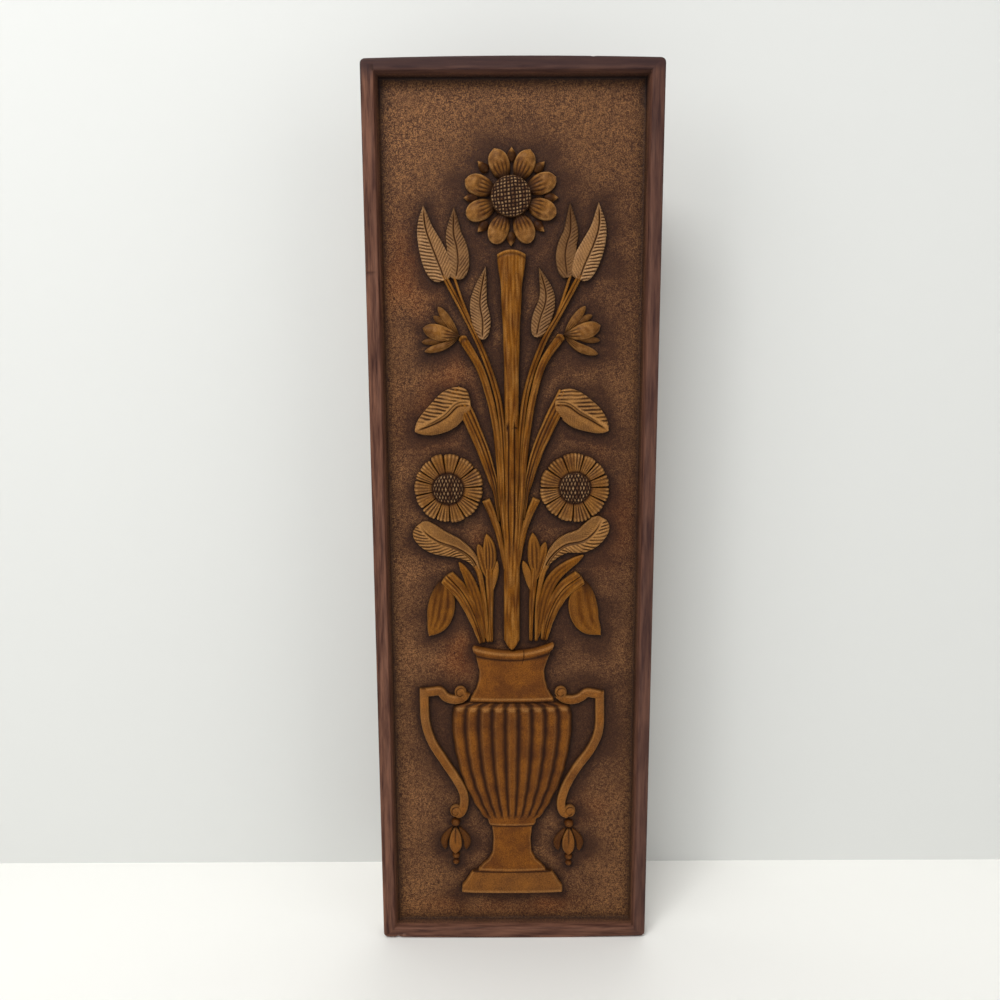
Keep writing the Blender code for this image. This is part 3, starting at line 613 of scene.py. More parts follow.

# Blades without veins, with a few lines along them. A shade is how far down the blade its hollow runs, and
# on which side; the hollow is painted dark as painted shadow under the fold above it.
blades = {
    "hiddenLeft": {
        "rib": [(-28, -118), (-33, -98), (-40, -70), (-48, -49), (-57, -33)], "reach": (6, 6),
        "fullness": (0.60, 0.55), "height": 0.34, "lines": 2, "cut": 0.05, "worn": 0.1,
    },
    "hiddenRight": {
        "rib": [(25, -117), (28, -98), (34, -68), (46, -46), (73, -26)], "reach": (6.5, 6.5),
        "fullness": (0.60, 0.55), "height": 0.34, "lines": 2, "cut": 0.05, "worn": 0.1,
    },
    "droopingLeft": {
        "rib": [(-71, -48), (-75, -66), (-78, -84), (-81.5, -98), (-89.5, -112.5)], "reach": (15.5, 12.8),
        "fullness": (0.86, 0.78), "height": 0.40, "lines": 3, "cut": 0.045, "worn": 0.2,
        "shade": (0.52, 1),
    },
    "droopingRight": {
        "rib": [(69, -48), (73, -66), (75.5, -84), (80, -98), (92, -112)], "reach": (13.4, 17.2),
        "fullness": (0.86, 0.78), "height": 0.40, "lines": 2, "cut": 0.025, "worn": 0.2,
        "shade": (0.52, -1),
    },
    "budLeft": {
        "rib": [(-26, -46), (-25, -31), (-25.5, -17), (-28, -3)], "reach": (7, 7),
        "fullness": (0.60, 0.70), "height": 0.54, "lines": 3, "cut": 0.08, "worn": 0.4,
    },
    "budRight": {
        "rib": [(23, -46), (22, -32), (21.5, -18), (20, -2)], "reach": (7, 7), "fullness": (0.60, 0.70),
        "height": 0.54, "lines": 2, "cut": 0.06, "worn": 0.3,
    },
    "budOuterLeft": {
        "rib": [(-27, -52), (-32, -35), (-34.5, -25), (-37, -14)], "reach": (4, 6.4),
        "fullness": (0.70, 0.60), "height": 0.44, "lines": 1, "cut": 0.05, "worn": 0.4,
    },
    "budOuterRight": {
        "rib": [(24, -52), (29, -35), (31.5, -24), (33.5, -12)], "reach": (6.4, 4),
        "fullness": (0.70, 0.60), "height": 0.44, "lines": 1, "cut": 0.05, "worn": 0.3,
    },
    "budInnerLeft": {
        "rib": [(-23, -66), (-20.5, -52), (-18.5, -42), (-17, -32)], "reach": (3.8, 3.4),
        "fullness": (0.70, 0.60), "height": 0.40, "lines": 0, "cut": 0.0, "worn": 0.5,
    },
    "budInnerRight": {
        "rib": [(19.5, -66), (16, -50), (13, -41), (10, -32)], "reach": (4.2, 4.6),
        "fullness": (0.70, 0.60), "height": 0.40, "lines": 0, "cut": 0.0, "worn": 0.4,
    },
}

midrib = {"width": 0.85, "depth": 0.20, "valley": 0.10, "twinWidth": 0.7}
tipStain = {"from": 240, "amount": 0.26}      # the topmost leaves darken towards their tips


def lowEnds(share):
    # a leaf lies lower at its foot and tip
    return 1 - carving["endFall"] * (1 - math.sin(math.pi * share))


def veinCut(vein, here):
    # 0 between two veins, 1 at the bottom of a cut
    if "turn" in vein:
        angle = math.radians(vein["turn"])
        phase = (here.z * math.cos(angle) - here.x * math.sin(angle)) / vein["step"]
    else:
        phase = (here.along - vein["lean"] * here.across) / vein["step"]
    phase += 0.22 * ripple(here.x, here.z, 9.0, 5.0)
    strong = clamp(0.88 + 0.8 * ripple(here.x, here.z, 13.0, 31.0), 0.40, 1.0)
    cut = cutRow(2 * math.pi * phase, vein["sharp"]) * strong
    return cut * ease((here.across - vein["clear"]) / 1.6) * ease(here.gap / 0.5 + 0.35)


def leafSection(leaf):
    second = leaf.get("secondRib")

    def section(here):
        out = abs(here.side)
        vein = leaf["right"] if here.side > 0 else leaf["left"]
        cut = veinCut(vein, here)
        line = band(here.across, 0, midrib["width"]) * ease(here.share * 14) * ease((1 - here.share) * 6)
        rise = 1 - midrib["valley"] * (1 - out) ** 3 - carving["edgeFall"] * out ** 3
        rise -= vein["depth"] * cut + midrib["depth"] * line
        twin = 0.0
        if second:
            away = math.copysign(here.across, here.side) - second[0] * (1 - 0.6 * here.share)
            twin = band(away, 0, midrib["twinWidth"]) * ease(here.share * 10) * ease((0.86 - here.share) * 5)
            rise -= second[1] * twin
        height = leaf["height"] * rise * lowEnds(here.share)
        deep = max(cut * min(1.0, vein["depth"] / 0.11), line, 0.8 * twin)
        ribbed = clamp(vein["depth"] / 0.13)
        worn = (1 - deep) * (0.22 + 0.62 * ribbed + 0.55 * band(here.gap, 0.7, 0.6))
        stain = leaf.get("stain", 0.0)
        if here.z > tipStain["from"]:
            stain += tipStain["amount"] * ease((here.share - 0.5) * 2)
        return height, max(deep, stain), worn * (1 - 0.9 * stain)
    return section


def bladeSection(blade):
    def section(here):
        cut = 0.0
        if blade["lines"]:
            cut = cutsAlong(here, blade["lines"], 1.5) * ease(here.share * 5) * ease((1 - here.share) * 3)
            cut *= ease(here.gap / 1.2)
        rise = 1 - carving["edgeFall"] * abs(here.side) ** 3 - blade["cut"] * cut
        hollow = 0.0
        if "shade" in blade:
            until, side = blade["shade"]
            # the hollow is painted dark: painted shadow under the fold
            hollow = ease(1 - here.share / until) * ease(0.5 + side * here.side * 1.4)
        height = blade["height"] * rise * lowEnds(here.share) * (1 - 0.30 * hollow)
        deep = max(cut * min(1.0, blade["cut"] / 0.09), hollow)
        worn = blade["worn"] * (1 - cut) + 0.55 * band(here.gap, 0.7, 0.6)
        return height, deep, worn * (1 - hollow)
    return section


def carveBlades(form, group):
    for blade in group.values():
        left, right = blade["reach"]
        foot, tip = blade["fullness"]
        section = leafSection(blade) if "left" in blade else bladeSection(blade)
        carveStrip(form, blade["rib"],
                   lambda share: (left * swell(share, foot, tip), right * swell(share, foot, tip)), section,
                   ends=False)


upperLeaves = {name: leaf for name, leaf in leaves.items() if leaf["rib"][0][1] > 150}
lowerLeaves = {name: leaf for name, leaf in leaves.items() if name not in upperLeaves}

for name, group, wood in (
        ("upper_leaves", upperLeaves, "leafWood"), ("lower_leaves", lowerLeaves, "goldWood"),
        ("buds_and_blades", blades, "stemWood")):
    leafForm = newForm()
    carveBlades(leafForm, group)
    finishPiece(name, leafForm, woods[wood])
print("leaves carved")


# Stems: middle line, half widths along it, heights at foot and top, and the lines cut along them, each with
# its place across (-1 to 1), its depth and its half width. litEdge paints one margin paler as a painted
# highlight; below 0, it is the left one.
stems = {
    "mainStem": {
        "line": [(-2, -128), (-1.9, -60), (-1.9, 10), (-1.7, 100), (-1.8, 190), (-1.8, 245), (-1.6, 282)],
        "half": (8.2, 8.2, 8.2, 8.0, 7.4, 7.0, 7.0, 7.3, 8.3, 10.2, 14.2), "height": (0.62, 0.66),
        "lines": [(-0.44, 0.16, 0.8), (0.42, 0.18, 0.8)], "arch": 4.6,       # cut to a low arc
    },
    "longLeft": {
        "line": [(-5, -20), (-8.4, 30), (-9.6, 70), (-12, 115), (-18, 147), (-32, 186), (-50, 223),
                 (-69, 259)],
        "half": (1.0, 2.4, 3.2, 3.2, 3.0, 2.8, 2.8), "height": (0.52, 0.42),
        "lines": [(0.05, 0.20, 0.55)], "litEdge": -0.5,
    },
    "longRight": {
        "line": [(1.5, -20), (4.6, 30), (6.2, 70), (9, 115), (15, 150), (29, 190), (47, 222), (67, 259)],
        "half": (1.0, 2.4, 3.2, 3.2, 3.0, 2.8, 2.8), "height": (0.52, 0.42),
        "lines": [(-0.05, 0.20, 0.55)], "litEdge": 0.5,
    },
    "thinLeft": {
        "line": [(-42, 212), (-51, 234), (-59, 258)], "half": (1.5, 1.4), "height": (0.34, 0.34),
    },
    "thinRight": {
        "line": [(42, 214), (50, 236), (57, 258)], "half": (1.5, 1.4), "height": (0.34, 0.34),
    },
    "lilyLeft": {
        "line": [(-8, -20), (-12.6, 30), (-14, 66), (-17.5, 105), (-24, 138), (-34, 168), (-52, 199)],
        "half": (1.0, 2.6, 3.3, 3.4, 3.6, 3.8, 4.3), "height": (0.50, 0.48),
        "lines": [(-0.35, 0.08, 0.5)], "litEdge": 0.7, "curl": 0.4, "arch": 2.4,
    },
    "lilyRight": {
        "line": [(4.5, -20), (9, 30), (10.5, 66), (14.5, 105), (20, 138), (30, 172), (49, 200)],
        "half": (1.0, 2.4, 3.1, 3.4, 3.6, 3.8, 4.3), "height": (0.50, 0.48), "lines": [(0.35, 0.08, 0.5)],
        "litEdge": -0.7, "curl": 0.4, "arch": 2.4,
    },
    "foldLeft": {
        "line": [(-15, 10), (-18.3, 40), (-22.6, 58), (-31, 84), (-40, 106), (-48, 124), (-61, 146)],
        "half": (1.0, 2.0, 5.0, 6.0, 6.5, 7.0, 7.0), "height": (0.54, 0.44),
        "lines": [(0.58, 0.20, 0.8), (0.0, 0.14, 0.8), (-0.45, 0.08, 0.6)], "litEdge": 0.9,
    },
    "foldRight": {
        "line": [(11, 12), (13.8, 40), (17.8, 60), (25, 84), (35.5, 108), (43, 124), (53, 143)],
        "half": (1.0, 2.0, 4.6, 5.8, 6.5, 7.0, 7.0), "height": (0.54, 0.44),
        "lines": [(-0.58, 0.20, 0.8), (0.0, 0.14, 0.8), (0.45, 0.08, 0.6)], "litEdge": -0.9,
    },
    "shortLeft": {
        "line": [(-9, -42), (-11.5, -22), (-15.5, -2), (-22, 18), (-28.5, 33)],
        "half": (1.2, 2.6, 3.4, 3.8, 4.2), "height": (0.50, 0.48), "lines": [(-0.3, 0.06, 0.5)],
        "litEdge": 0.4, "litEnd": 1.0,
    },
    "shortRight": {
        "line": [(4.5, -42), (6.8, -22), (9.8, -4), (15, 14), (24, 34)],
        "half": (1.2, 2.6, 3.4, 3.8, 4.2), "height": (0.50, 0.48), "lines": [(0.3, 0.06, 0.5)],
        "litEdge": -0.4, "litEnd": 1.0,
    },
    "curlStalkLeft": {
        "line": [(-27, -120), (-30, -80), (-35, -48), (-40, -36)], "half": (1.8, 3.0),
        "height": (0.46, 0.46), "litEdge": 0.6,
    },
    "curlStalkRight": {
        "line": [(24, -119), (25, -80), (30, -48), (35, -36)], "half": (1.8, 3.0), "height": (0.46, 0.46),
        "litEdge": -0.6,
    },
    "budStalkLeft": {
        "line": [(-24, -120), (-24.5, -85), (-25.5, -38)], "half": (2.2, 4.4), "height": (0.42, 0.48),
        "lines": [(0.1, 0.08, 0.5)],
    },
    "budStalkRight": {
        "line": [(18.2, -119), (19, -85), (22, -38)], "half": (1.8, 4.0), "height": (0.42, 0.48),
        "lines": [(0.0, 0.08, 0.5)],
    },
    "foldedLeft": {
        "line": [(-33, -121), (-39, -100), (-47, -80), (-57, -63), (-71, -48)],
        "half": (3.6, 5.4, 6.8, 7.8, 8.4, 8.4), "height": (0.44, 0.54), "litEdge": -0.8, "litEnd": 0.9,
        "arch": 2.0, "lines": [(-0.16, 0.16, 0.45), (0.20, 0.16, 0.45), (0.62, 0.06, 0.6)],
    },
    "foldedRight": {
        "line": [(32, -118), (36, -98), (43, -79), (54, -62), (71, -49)],
        "half": (3.6, 5.4, 6.8, 7.8, 8.4, 8.4), "height": (0.44, 0.54), "litEdge": 0.5, "litEnd": 0.9,
        "arch": 2.0, "lines": [(0.16, 0.16, 0.45), (-0.20, 0.16, 0.45), (-0.62, 0.06, 0.6)],
    },
}
mainStemLooks = {
    "fuller": 1.15,           # rounder than the others
    "capRim": 2.6,
    "point": 11.0,            # the foot narrows over this length
    "bundle": (-36, 118),     # between these heights the other stems' lines run on down it
    "nicks": [(-6.0, 107.0, 1.3, 3.6), (2.6, 107.0, 2.4, 1.1)],      # x, z, half width, half height
}


def stemSection(name, stem):
    def section(here):
        half = here.across / max(abs(here.side), 1e-6) if here.side else between(stem["half"], here.share)
        off = here.side * half
        groove, fall = 0.0, 0.0
        for side, depth, wide in stem.get("lines", []):
            reach = 1.0
            if name == "mainStem":        # they run together downwards, and the stem is plain above
                low, high = mainStemLooks["bundle"]
                reach = ease((here.z - low) / 34) * ease((high - here.z) / 10)
                side *= 0.35 + 0.65 * ease((here.z - low) / 60)
            line = band(off, side * half, wide * min(1.0, half / 3)) * reach * ease(here.gap / 0.9)
            groove = max(groove, line * clamp(depth / 0.14))
            fall += depth * line
        fuller = mainStemLooks["fuller"] if name == "mainStem" else 1.0
        fall += fuller * carving["edgeFall"] * abs(here.side) ** 2.6
        # painted highlight: one margin, and with litEnd the far end, painted paler than the rest
        lit = stem.get("litEdge", 0.0)
        lit = 0.30 + (abs(lit) if lit * here.side > 0 else 0.0)
        rubbed = ripple(off * 2.6, here.along * 0.22, 5.0, 15.0 + len(name))
        groove = max(groove, 0.42 * clamp(-1.6 * rubbed - 0.25))
        worn = clamp(0.20 + 0.9 * rubbed) + band(here.gap, 0.7, 0.6) * lit
        worn += stem.get("litEnd", 0.35) * band(here.end, 0, 1.8) * (here.share > 0.5)
        groove = max(groove, 0.9 * ease((3.5 - here.along) / 3.5))
        height = between(stem["height"], here.share) * (1 - fall)
        if "curl" in stem:                # the end rolls over, with a hollow before it
            hollow = band(here.end, 4.5, 1.6) * (here.share > 0.5)
            height *= 1 - 0.5 * stem["curl"] * hollow
            groove = max(groove, 0.7 * hollow)
        if name == "mainStem":
            below = mainStemLooks["capRim"]
            hollow = band(here.end, 1.6 * below, 0.5 * below) * (here.share > 0.5)
            height *= 1 - 0.10 * hollow
            groove = max(groove, 0.55 * hollow)
            worn += 0.5 * band(here.end, 0, below) * (here.share > 0.5)
            for spot in mainStemLooks["nicks"]:
                nick = spotAt(here.x, here.z, spot)
                height *= 1 - 0.22 * nick
                groove = max(groove, nick)
        return height, groove, worn * (1 - 0.8 * groove)
    return section


def stemReach(name, stem):
    length = follow(stem["line"])[1]

    def reach(share):
        half = between(stem["half"], share)
        if name == "mainStem":
            half *= clamp(share * length / mainStemLooks["point"], 0.04) ** 0.6
        return half, half
    return reach


stemForm = newForm()
for name, stem in stems.items():
    carveStrip(stemForm, stem["line"], stemReach(name, stem), stemSection(name, stem), cell=0.7,
               arch=stem.get("arch", 0.0))
finishPiece("stems", stemForm, woods["stemWood"])
print("stems carved")


# Lilies: petals like narrow blades, the hindmost first. The lower a petal lies, the darker it has stayed.
lilies = {
    "left": [
        {"rib": [(-62, 206), (-71, 213), (-80, 219)], "reach": 3.4, "height": 0.25},
        {"rib": [(-64, 197), (-78, 194.5), (-92, 193.5)], "reach": 3.4, "height": 0.25},
        {"rib": [(-54, 198), (-63, 211), (-75, 228)], "reach": 4.3, "height": 0.40},
        {"rib": [(-54, 198), (-69, 190), (-89, 184)], "reach": 3.9, "height": 0.40},
        {"rib": [(-53, 199), (-70, 201.5), (-90, 207)], "reach": 8.0, "height": 0.60},
    ],
    "right": [
        {"rib": [(60, 207), (69, 214), (79, 219.5)], "reach": 3.4, "height": 0.25},
        {"rib": [(62, 197), (75, 195.5), (87, 194.5)], "reach": 3.4, "height": 0.25},
        {"rib": [(51, 199), (59, 211), (72, 228)], "reach": 4.3, "height": 0.40},
        {"rib": [(51, 199), (66, 188), (85, 181)], "reach": 4.4, "height": 0.40},
        {"rib": [(50, 200), (67, 202.5), (87, 209)], "reach": 8.2, "height": 0.60},
    ],
    "lines": 3,
    "cut": 0.10,
    "stains": ((0.3, 0.50), (0.5, 0.22), (1.0, 0.0)),      # below this height, this much
    "endStain": 0.30,
    "fullness": (0.85, 0.55),
}


def lilySection(petal):
    def section(here):
        cut = cutsAlong(here, lilies["lines"], 2) * ease((0.55 - here.share) * 4) * ease(here.gap / 0.8)
        rise = 1 - 1.7 * carving["edgeFall"] * abs(here.side) ** 2.2 - lilies["cut"] * cut
        height = petal["height"] * rise * (1 - 0.35 * (1 - math.sin(math.pi * clamp(here.share * 0.8 + 0.1))))
        low = ease((0.34 - here.share) * 4)
        stain = next(much for below, much in lilies["stains"] if petal["height"] < below)
        stain = max(stain, lilies["endStain"] * ease((here.share - 0.6) * 3))
        patchy = clamp(0.4 + 1.2 * ripple(here.x, here.z, 4.0, 17.0))
        worn = (0.12 + 0.5 * band(here.gap, 0.8, 0.6) + 0.4 * patchy) * (1 - cut) * (1 - stain)
        return height * (1 - 0.25 * low), max(0.9 * cut, 0.85 * low, stain), worn
    return section


lilyForm = newForm()
for side in ("left", "right"):
    for petal in lilies[side]:
        carveStrip(lilyForm, petal["rib"],
                   lambda share: (petal["reach"] * swell(share, *lilies["fullness"]),) * 2,
                   lilySection(petal), ends=False)
finishPiece("lilies", lilyForm, woods["goldWood"])


# Daisies: a spun ring of petals, each with ridges along it, round a chequered boss.
# The cuts between petals are given clockwise from the top, in degrees, as the knife left them.
daisies = {
    "left": {"centre": (-67.3, 44.8), "outer": 35.2, "disc": 15.6,
             "cuts": (21, 52, 86, 115, 150, 177, 203, 232, 258, 286, 303, 329, 352)},
    "right": {"centre": (63.2, 45.4), "outer": 35.4, "disc": 16.0,
              "cuts": (16, 40, 66, 89, 116, 150, 183, 211, 239, 270, 304, 338)},
    "ridgeTurn": 6.6,        # degrees from ridge to ridge
    "height": 0.52,
    "discHeight": 0.72, "discBrim": 0.70,
    "hollow": 0.16,          # the petals sink towards the boss
    "ridgeDepth": 0.13,
    "notch": 0.105,          # of the radius, between two petals
    "notchCut": 0.50,        # of the height
    "steps": 420,
    "rings": 30,
    "seeds": {"step": 3.0, "turns": (32, 148), "stretch": 0.66, "depth": 0.12},      # the crossing cuts
}


def carveDaisyRing(form, daisy, seed):
    rings = daisies["rings"]
    profile = [form.verts.new((1 - (1 - ring / rings) ** 1.3, 0, 0)) for ring in range(rings + 1)]
    edges = [form.edges.new(pair) for pair in zip(profile, profile[1:])]
    before = set(form.verts) - set(profile)
    bmesh.ops.spin(form, geom=profile + edges, cent=(0, 0, 0), axis=(0, 1, 0), angle=2 * math.pi,
                   steps=daisies["steps"], use_merge=True, use_duplicate=False)
    corners = [corner for corner in form.verts if corner not in before]
    bmesh.ops.remove_doubles(form, verts=corners, dist=0.00001)
    corners = [corner for corner in form.verts if corner not in before]
    cuts = sorted(daisy["cuts"])
    cuts = [cuts[-1] - 360] + cuts + [cuts[0] + 360]
    centre = daisy["centre"]
    for corner in corners:
        out = math.hypot(corner.co.x, corner.co.z)
        turn = math.degrees(math.atan2(corner.co.x, corner.co.z)) % 360
        petal = max(count for count, cut in enumerate(cuts[:-1]) if cut <= turn)
        wide = cuts[petal + 1] - cuts[petal]
        within = (turn - cuts[petal]) / wide
        gap = min(within, 1 - within) * wide                       # degrees from the nearer cut
        within += 0.05 * math.sin(math.pi * within) * ripple(petal * 2.3, within * 3, 1.0, seed + 6)
        ridges = max(2, round(wide / daisies["ridgeTurn"]))
        ridge = cutRow(2 * math.pi * within * ridges, 1.1)
        strong = clamp(0.70 + 0.9 * ripple(petal * 3.1 + within, out * 2, 1.0, seed), 0.25, 1.0)
        notch = band(gap, 0, 1.5)
        reach = ease((out - 0.36) / 0.3)
        ending = 0.024 * math.sin(math.pi * within) + 0.05 * ripple(petal * 5.3, 0.4, 1.0, seed + 3)
        ending -= 0.014 * ridge * strong
        outer = daisy["outer"] * (0.985 + (ending - daisies["notch"] * notch) * out ** 6)
        inside = (1 - out) * daisy["outer"]
        round_ = lip(inside, 2.0)
        height = 1 - daisies["hollow"] * ease((0.80 - out) / 0.40) - 0.10 * out ** 4
        height *= 1 - daisies["ridgeDepth"] * ridge * reach * strong - daisies["notchCut"] * notch * reach
        height *= rolled(1 - 0.12 * ridge * ease(1 - inside / 1.6), round_)
        corner.co = place(centre[0] + outer * corner.co.x, centre[1] + outer * corner.co.z,
                          daisies["height"] * height)
        deep = max(ridge * strong * reach * 0.80, notch, ease((0.56 - out) / 0.10))
        # painted highlight: the shine is patchy and stronger on the lower petals
        shine = clamp(0.55 + 0.7 * ripple(turn, out, 40.0, seed + 8) - 0.2 * math.cos(math.radians(turn)))
        worn = (0.10 + 0.55 * band(inside, 1.2, 2.0) + 0.35 * reach * strong) * (1 - deep)
        mark(form, corner, deep, worn * (0.5 + shine), 0.30 * (1 - round_))
    sink(form, corners)


def seedSection(step, turns, stretch, depth):
    # bosses between two sets of crossing cuts
    def section(x, z, out):
        bulge = 0.93 + 0.14 * out * out               # the lines close up towards the brim
        x = x * bulge + 0.9 * ripple(x, z, 6.0, 12.0)
        z = z * bulge + 0.9 * ripple(x, z, 6.0, 14.0)
        cut = 0.0
        for turn in turns:
            angle = math.radians(turn)
            phase = (x * math.cos(angle) + z * math.sin(angle) * stretch) / step
            cut = max(cut, cutRow(2 * math.pi * phase, 1.6))
        cut = max(cut * ease((1 - out) * 9 + 0.2), 0.8 * ease((out - 0.93) / 0.07))
        shine = clamp(0.62 + 1.1 * ripple(x, z, 5.0, 9.0), 0.15, 1.0)
        return 1 - depth * cut, cut, (1 - cut) ** 1.6 * shine
    return section


seedCell = 0.45
daisyForm = newForm()
seedForm = newForm()
for seed, side in enumerate(("left", "right")):
    daisy = daisies[side]
    carveDaisyRing(daisyForm, daisy, 1.7 + 2.6 * seed)       # its own unevenness
    carveDome(seedForm, daisy["centre"], daisy["disc"], daisies["discHeight"], daisies["discBrim"],
              seedSection(**daisies["seeds"]), cell=seedCell)
finishPiece("daisies", daisyForm, woods["goldWood"], sharp=60)
print("daisies carved")


# The tall flower at the top: pointed sepals, egg-shaped petals and a large chequered boss
crown = {
    "centre": (-2, 333), "petalInner": 16, "petalOuter": 47.2, "petalHalf": 10.1,
    "petalHeight": 0.60, "petalFullness": (0.66, 0.50), "petalLines": 4,
    "sepalInner": 33, "sepalOuter": 46.5, "sepalHalf": 4.6, "sepalHeight": 0.34, "sepalFullness": (0.5, 1.0),
    "petalTurns": (23.4, 68, 110.5, 157, 201.5, 248, 289.5, 340),       # clockwise from the top
    "sepalTurns": (1, 45, 91, 135, 180, 225, 269, 316),
    "discRadius": 20, "discHeight": 0.80, "discBrim": 0.72,
    "seeds": {"step": 3.5, "turns": (4, 97), "stretch": 1.0, "depth": 0.10},
}


def crownSection(height, lines):
    def section(here):
        cut = cutsAlong(here, lines, 2) * ease((0.68 - here.share) * 4) * ease(here.gap) if lines else 0.0
        rise = 1 - 1.7 * carving["edgeFall"] * abs(here.side) ** 2.4 - 0.11 * cut
        foot = 1 - 0.30 * ease((0.4 - here.share) * 3)
        top = height * rise * foot * (1 - 0.35 * ease((here.share - 0.65) * 2.9) ** 2)
        if not lines:                     # a sepal
            return top, 0.80 * ease((0.86 - here.share) * 3), 0.75 * ease((here.share - 0.6) * 3)
        margin = band(here.gap, 0.9, 0.8)
        patchy = ripple(here.x, here.z, 4.5, 21.0)
        worn = 0.06 + 0.20 * ease((here.share - 0.35) * 2) + 0.80 * margin * ease((here.share - 0.2) * 3)
        worn += 0.5 * clamp(patchy)
        deep = max(cut * 0.9, ease((0.40 - here.share) * 4) * 0.90, 0.5 * clamp(-1.6 * patchy - 0.05))
        return top, deep, worn * (1 - cut)
    return section


crownForm = newForm()
for kind in ("sepal", "petal"):
    foot, tip = crown[f"{kind}Fullness"]
    for turn in crown[f"{kind}Turns"]:
        angle = math.radians(turn)
        way = Vector((math.sin(angle), math.cos(angle)))
        start, end = (Vector(crown["centre"]) + way * crown[f"{kind}{part}"] for part in ("Inner", "Outer"))
        carveStrip(crownForm, [start, start.lerp(end, 0.5), end],
                   lambda share: (crown[f"{kind}Half"] * swell(share, foot, tip),) * 2,
                   crownSection(crown[f"{kind}Height"], crown["petalLines"] if kind == "petal" else 0),
                   lipRound=2.4, ends=False)
finishPiece("crown_flower", crownForm, woods["goldWood"])
carveDome(seedForm, crown["centre"], crown["discRadius"], crown["discHeight"], crown["discBrim"],
          seedSection(**crown["seeds"]), cell=seedCell)
finishPiece("seed_heads", seedForm, woods["seedWood"], sharp=60)
print("crown flower carved")


# The urn, from lip to base: z, half width, height in the middle, height at the side, and flute depth
urn = {
    "axis": -2, "reeds": 9, "cell": 0.95,
    "lipFoot": -137, "lipRise": (5.5, 9.0), "lipShift": 1.5,      # its two ends rise, the right one more
    "profile": [
        (-129.5, 42.0, 0.60, 0.42, 0), (-131.5, 43.5, 0.72, 0.52, 0), (-135.5, 42.5, 0.74, 0.52, 0),
        (-138.0, 40.0, 0.56, 0.38, 0), (-144.0, 36.4, 0.56, 0.36, 0), (-152.0, 34.6, 0.56, 0.36, 0),
        (-161.0, 35.2, 0.58, 0.36, 0), (-170.0, 37.6, 0.62, 0.38, 0), (-178.0, 41.5, 0.66, 0.40, 0),
        (-181.5, 44.0, 0.70, 0.42, 0), (-184.0, 44.5, 0.68, 0.40, 0), (-186.5, 46.0, 0.50, 0.30, 0),
        (-190.0, 60.0, 0.66, 0.34, 0.03), (-193.5, 63.0, 0.78, 0.42, 0.08), (-201.0, 64.6, 0.84, 0.44, 0.12),
        (-218.0, 64.8, 0.86, 0.44, 0.12), (-240.0, 62.3, 0.86, 0.44, 0.12), (-260.0, 58.2, 0.84, 0.43, 0.12),
        (-280.0, 52.2, 0.79, 0.42, 0.12), (-300.0, 43.0, 0.70, 0.40, 0.10), (-315.0, 34.5, 0.60, 0.34, 0.08),
        (-319.0, 31.5, 0.52, 0.30, 0.04),
        (-321.0, 26.5, 0.56, 0.34, 0), (-325.0, 26.0, 0.60, 0.36, 0), (-327.5, 25.0, 0.58, 0.36, 0),
        (-330.0, 22.0, 0.46, 0.30, 0), (-345.0, 20.6, 0.48, 0.30, 0), (-360.0, 21.4, 0.50, 0.32, 0),
        (-369.0, 25.6, 0.54, 0.34, 0), (-376.0, 33.0, 0.58, 0.36, 0), (-380.5, 36.8, 0.60, 0.38, 0),
        (-382.5, 36.8, 0.56, 0.34, 0), (-384.0, 44.0, 0.48, 0.32, 0), (-387.5, 46.5, 0.56, 0.38, 0),
        (-394.0, 50.5, 0.66, 0.46, 0), (-401.0, 55.5, 0.74, 0.54, 0), (-407.5, 56.0, 0.74, 0.54, 0),
    ],
    "darkLines": {-139.0: 1.0, -186.2: 1.5, -328.6: 0.9, -383.3: 1.1},       # z: half width; glaze in the groove under each moulding, painted darker as painted shadow
    "litLines": {-132.0: 1.6, -181.8: 1.3, -192.5: 1.6, -326.3: 0.8, -380.0: 1.0, -405.5: 1.8},
    "flutesFrom": -197,       # above this the reeds end in round tops
    "waist": (-384, -328),    # its margins are sharper
    "baseTop": -384.5,        # the base is rubbed paler
    "split": {"at": 9.0, "turn": 0.04, "half": 0.45, "depth": 0.06, "foot": -146},      # through the lip
}


def urnRow(z):
    rows = urn["profile"]
    for upper, lower in zip(rows, rows[1:]):
        if z >= lower[0]:
            share = clamp((upper[0] - z) / (upper[0] - lower[0]))
            smooth = 0.5 * share + 0.5 * ease(share)
            return [one + (two - one) * smooth for one, two in zip(upper[1:], lower[1:])]
    return list(rows[-1][1:])


